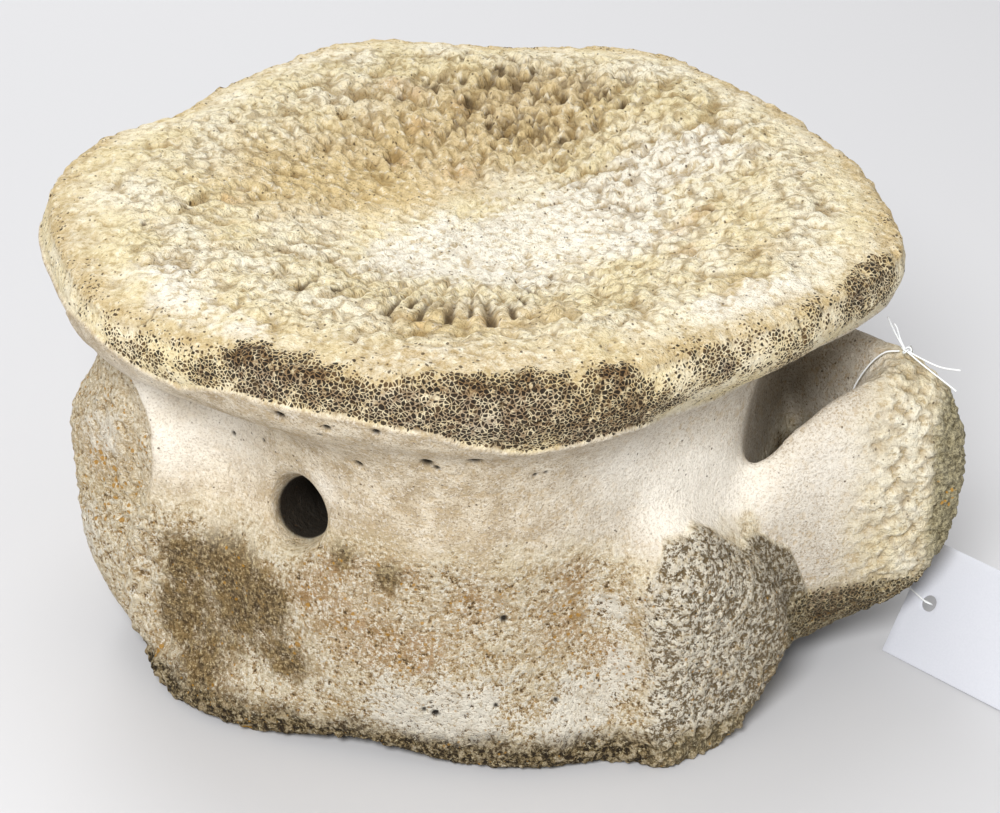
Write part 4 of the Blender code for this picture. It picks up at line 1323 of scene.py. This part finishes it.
# stains, with the painted shade at the far right of the rim
stained_and_shaded = add(tree, *FADE, add(tree, *PLUS, masks["stain_and_shade"], add(tree, *LESS, crumb, 0.5)), 0.25, 0.75)
amount = add(tree, *FADE, grit, 0.38, 0.62)
struts = add(tree, *OVER, amount, colour("#c0a878"), colour("#e6d7af"))
amount = add(tree, *TIMES, stained_and_shaded, add(tree, *FADE, crumb, 0.64, 0.4, 0.2, 1.0))
struts = add(tree, *OVER, amount, struts, colour("#735331"))
amount = add(tree, *TIMES, masks["sponge"], 0.8)
skin = add(tree, *OVER, amount, skin, struts)
stain_and_shade_on_face = add(tree, *TIMES, stained_and_shaded, masks["face"])
amount = add(tree, *TIMES, stain_and_shade_on_face, add(tree, *FADE, crumb, 0.7, 0.4, 0.1, 0.7))
skin = add(tree, *OVER, amount, skin, colour("#7d6241"))
pore_dirt_and_shade = add(tree, *PLUS, pore_tone, add(tree, *TIMES, stained_and_shaded, 0.5))
amount = add(tree, *FADE, pore_dirt_and_shade, 0.3, 0.9)
pore_shade = add(tree, *OVER, amount, colour("#513b22"), colour("#150d06"))
amount = add(tree, *TIMES, pore, 0.95)
skin = add(tree, *OVER, amount, skin, pore_shade)
amount = add(tree, *FADE, grit, 0.36, 0.64)
moss_colour = add(tree, *OVER, amount, colour("#565038"), colour("#a89e7c"))
amount = add(tree, *TIMES, masks["moss"], 0.85)
skin = add(tree, *OVER, amount, skin, moss_colour)
# painted shade and dirt in the recesses: clefts, gaps, slits, pores, cracks, the crust and the ledge
amount = add(tree, *FADE, masks["hollow"], 0.1, 1.0, 0.0, 0.88)
skin = add(tree, *OVER, amount, skin, colour("#5f4a2d"))
# painted shade in the artery's hole, the canal, the vessel holes and the front clefts
amount = add(tree, *FADE, masks["painted_shade"], 0.1, 0.95, 0.0, 0.97)
skin = add(tree, *OVER, amount, skin, colour("#191109"))
print("sponge:", len(tree.nodes), "nodes")

# %% [markdown]
# ### Pinholes, lichen and relief
#
# Pinholes are the mouths of fine vessels, painted dark for the shade inside them, and orange lichen grows
# in spots of a millimetre or two, each of a size of its own. Last, the same lumps, grains and specks that
# gave the colour are raised as a bump in real millimetres, because they're finer than the skin's squares.

# %% Paint pinholes and lichen
# pinholes painted dark for the shade inside them
spacing = add(tree, *LESS, hole_distance, add(tree, *TIMES, masks["lip"], 0.07))
pinholes = add(tree, *TIMES, add(tree, *FADE, spacing, 0.19, 0.1), masks["dotted"])
amount = add(tree, *TIMES, pinholes, 0.85)
skin = add(tree, *OVER, amount, skin, colour("#4a3924"))
spot_size = add(tree, *TIMES, masks["lichen"], 0.3)
spot_size = add(tree, *LESS, spot_size, add(tree, *TIMES, lichen_cells.outputs["Color"], 0.5))
from_spot = add(tree, *LESS, lichen_cells, add(tree, *PLUS, spot_size, 0.13))
lichen_grows = add(tree, *FADE, masks["lichen"], 0.05, 0.3, 0.0, 0.85)
amount = add(tree, *TIMES, add(tree, *FADE, from_spot, 0.16, 0.06), lichen_grows)
skin = add(tree, *OVER, amount, skin, colour("#bb8a35"))
tree.links.new(skin.outputs[2], shader.inputs["Base Color"])
print("colour:", len(tree.nodes), "nodes")

# %% Relief of the bone
lumpiness = add(tree, *LARGER, add(tree, *TIMES, masks["knobby"], 1.8), add(tree, *PLUS, masks["grain"], 0.5))
relief = add(tree, *TIMES, crumb, lumpiness)
grittiness = add(tree, *PLUS, add(tree, *TIMES, masks["grain"], 1.1), 0.4)
relief = add(tree, *PLUS, relief, add(tree, *TIMES, grit, grittiness))
fineness = add(tree, *PLUS, add(tree, *TIMES, masks["face"], 0.35), 0.3)
relief = add(tree, *PLUS, relief, add(tree, *TIMES, fine, fineness))
domes = add(tree, *TIMES, add(tree, *TIMES, lobes, lobes), masks["knobby"])
relief = add(tree, *LESS, relief, add(tree, *TIMES, domes, 1.5))
bump = add(tree, "ShaderNodeBump", Strength=1.0, Distance=MM, Height=relief)
tree.links.new(bump.outputs["Normal"], shader.inputs["Normal"])

bone.data.materials.clear()
bone.data.materials.append(bone_material)
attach(bone, "root")
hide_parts(*BONE_NODES)
print("bone:", len(tree.nodes), "nodes in all")

# %% [markdown]
# ## Floor and lights
#
# A plain pale floor shows where the bone stands. One large soft lamp beside the camera is the window or
# flash that the bone is seen by; a weak one overhead draws the rim, and another behind keeps the far side
# readable. Dry bone has no gloss, so the lamps' shapes don't show in it, only their softness, at the edges
# of the shadows.

# %% Floor and lights
floor_mesh = bpy.data.meshes.new("floor")
half = 6.0
floor_corners = [(-half, -half, 0), (half, -half, 0), (half, half, 0), (-half, half, 0)]
floor_mesh.from_pydata(floor_corners, [], [(0, 1, 2, 3)])
floor = bpy.data.objects.new("floor", floor_mesh)
bpy.context.scene.collection.objects.link(floor)
floor.location.z = -0.0001
floor_material, tree, shader = new_material("studio_floor")
shader.inputs["Base Color"].default_value = colour("#c9c9cb")
shader.inputs["Roughness"].default_value = 0.9
floor.data.materials.append(floor_material)


def soft_light(name, place, size, power, tint):
    """A round lamp of a size in metres and a power in watts that shines at the bone."""
    lamp = bpy.data.objects.new(name, bpy.data.lights.new(name, "AREA"))
    bpy.context.scene.collection.objects.link(lamp)
    lamp.data.shape = "DISK"
    lamp.data.size = size
    lamp.data.energy = power
    lamp.data.color = colour(tint)[:3]
    lamp.location = place
    lamp.rotation_mode = "QUATERNION"
    lamp.rotation_quaternion = (Vector(place) - LOOKED_AT).to_track_quat("Z", "Y")


soft_light("key", (0.2, -1.5, 1.3), 0.6, 36.0, "#ffffff")
soft_light("overhead", (-0.4, 0.5, 1.7), 1.0, 9.0, "#ffffff")
soft_light("fill", (-1.0, 1.3, 0.9), 1.0, 9.0, "#ffffff")
world = bpy.data.worlds.new("studio")
bpy.context.scene.world = world
world.use_nodes = True
world.node_tree.nodes["Background"].inputs["Color"].default_value = colour("#ffffff")
world.node_tree.nodes["Background"].inputs["Strength"].default_value = 0.5
bpy.context.scene.view_settings.view_transform = "Standard"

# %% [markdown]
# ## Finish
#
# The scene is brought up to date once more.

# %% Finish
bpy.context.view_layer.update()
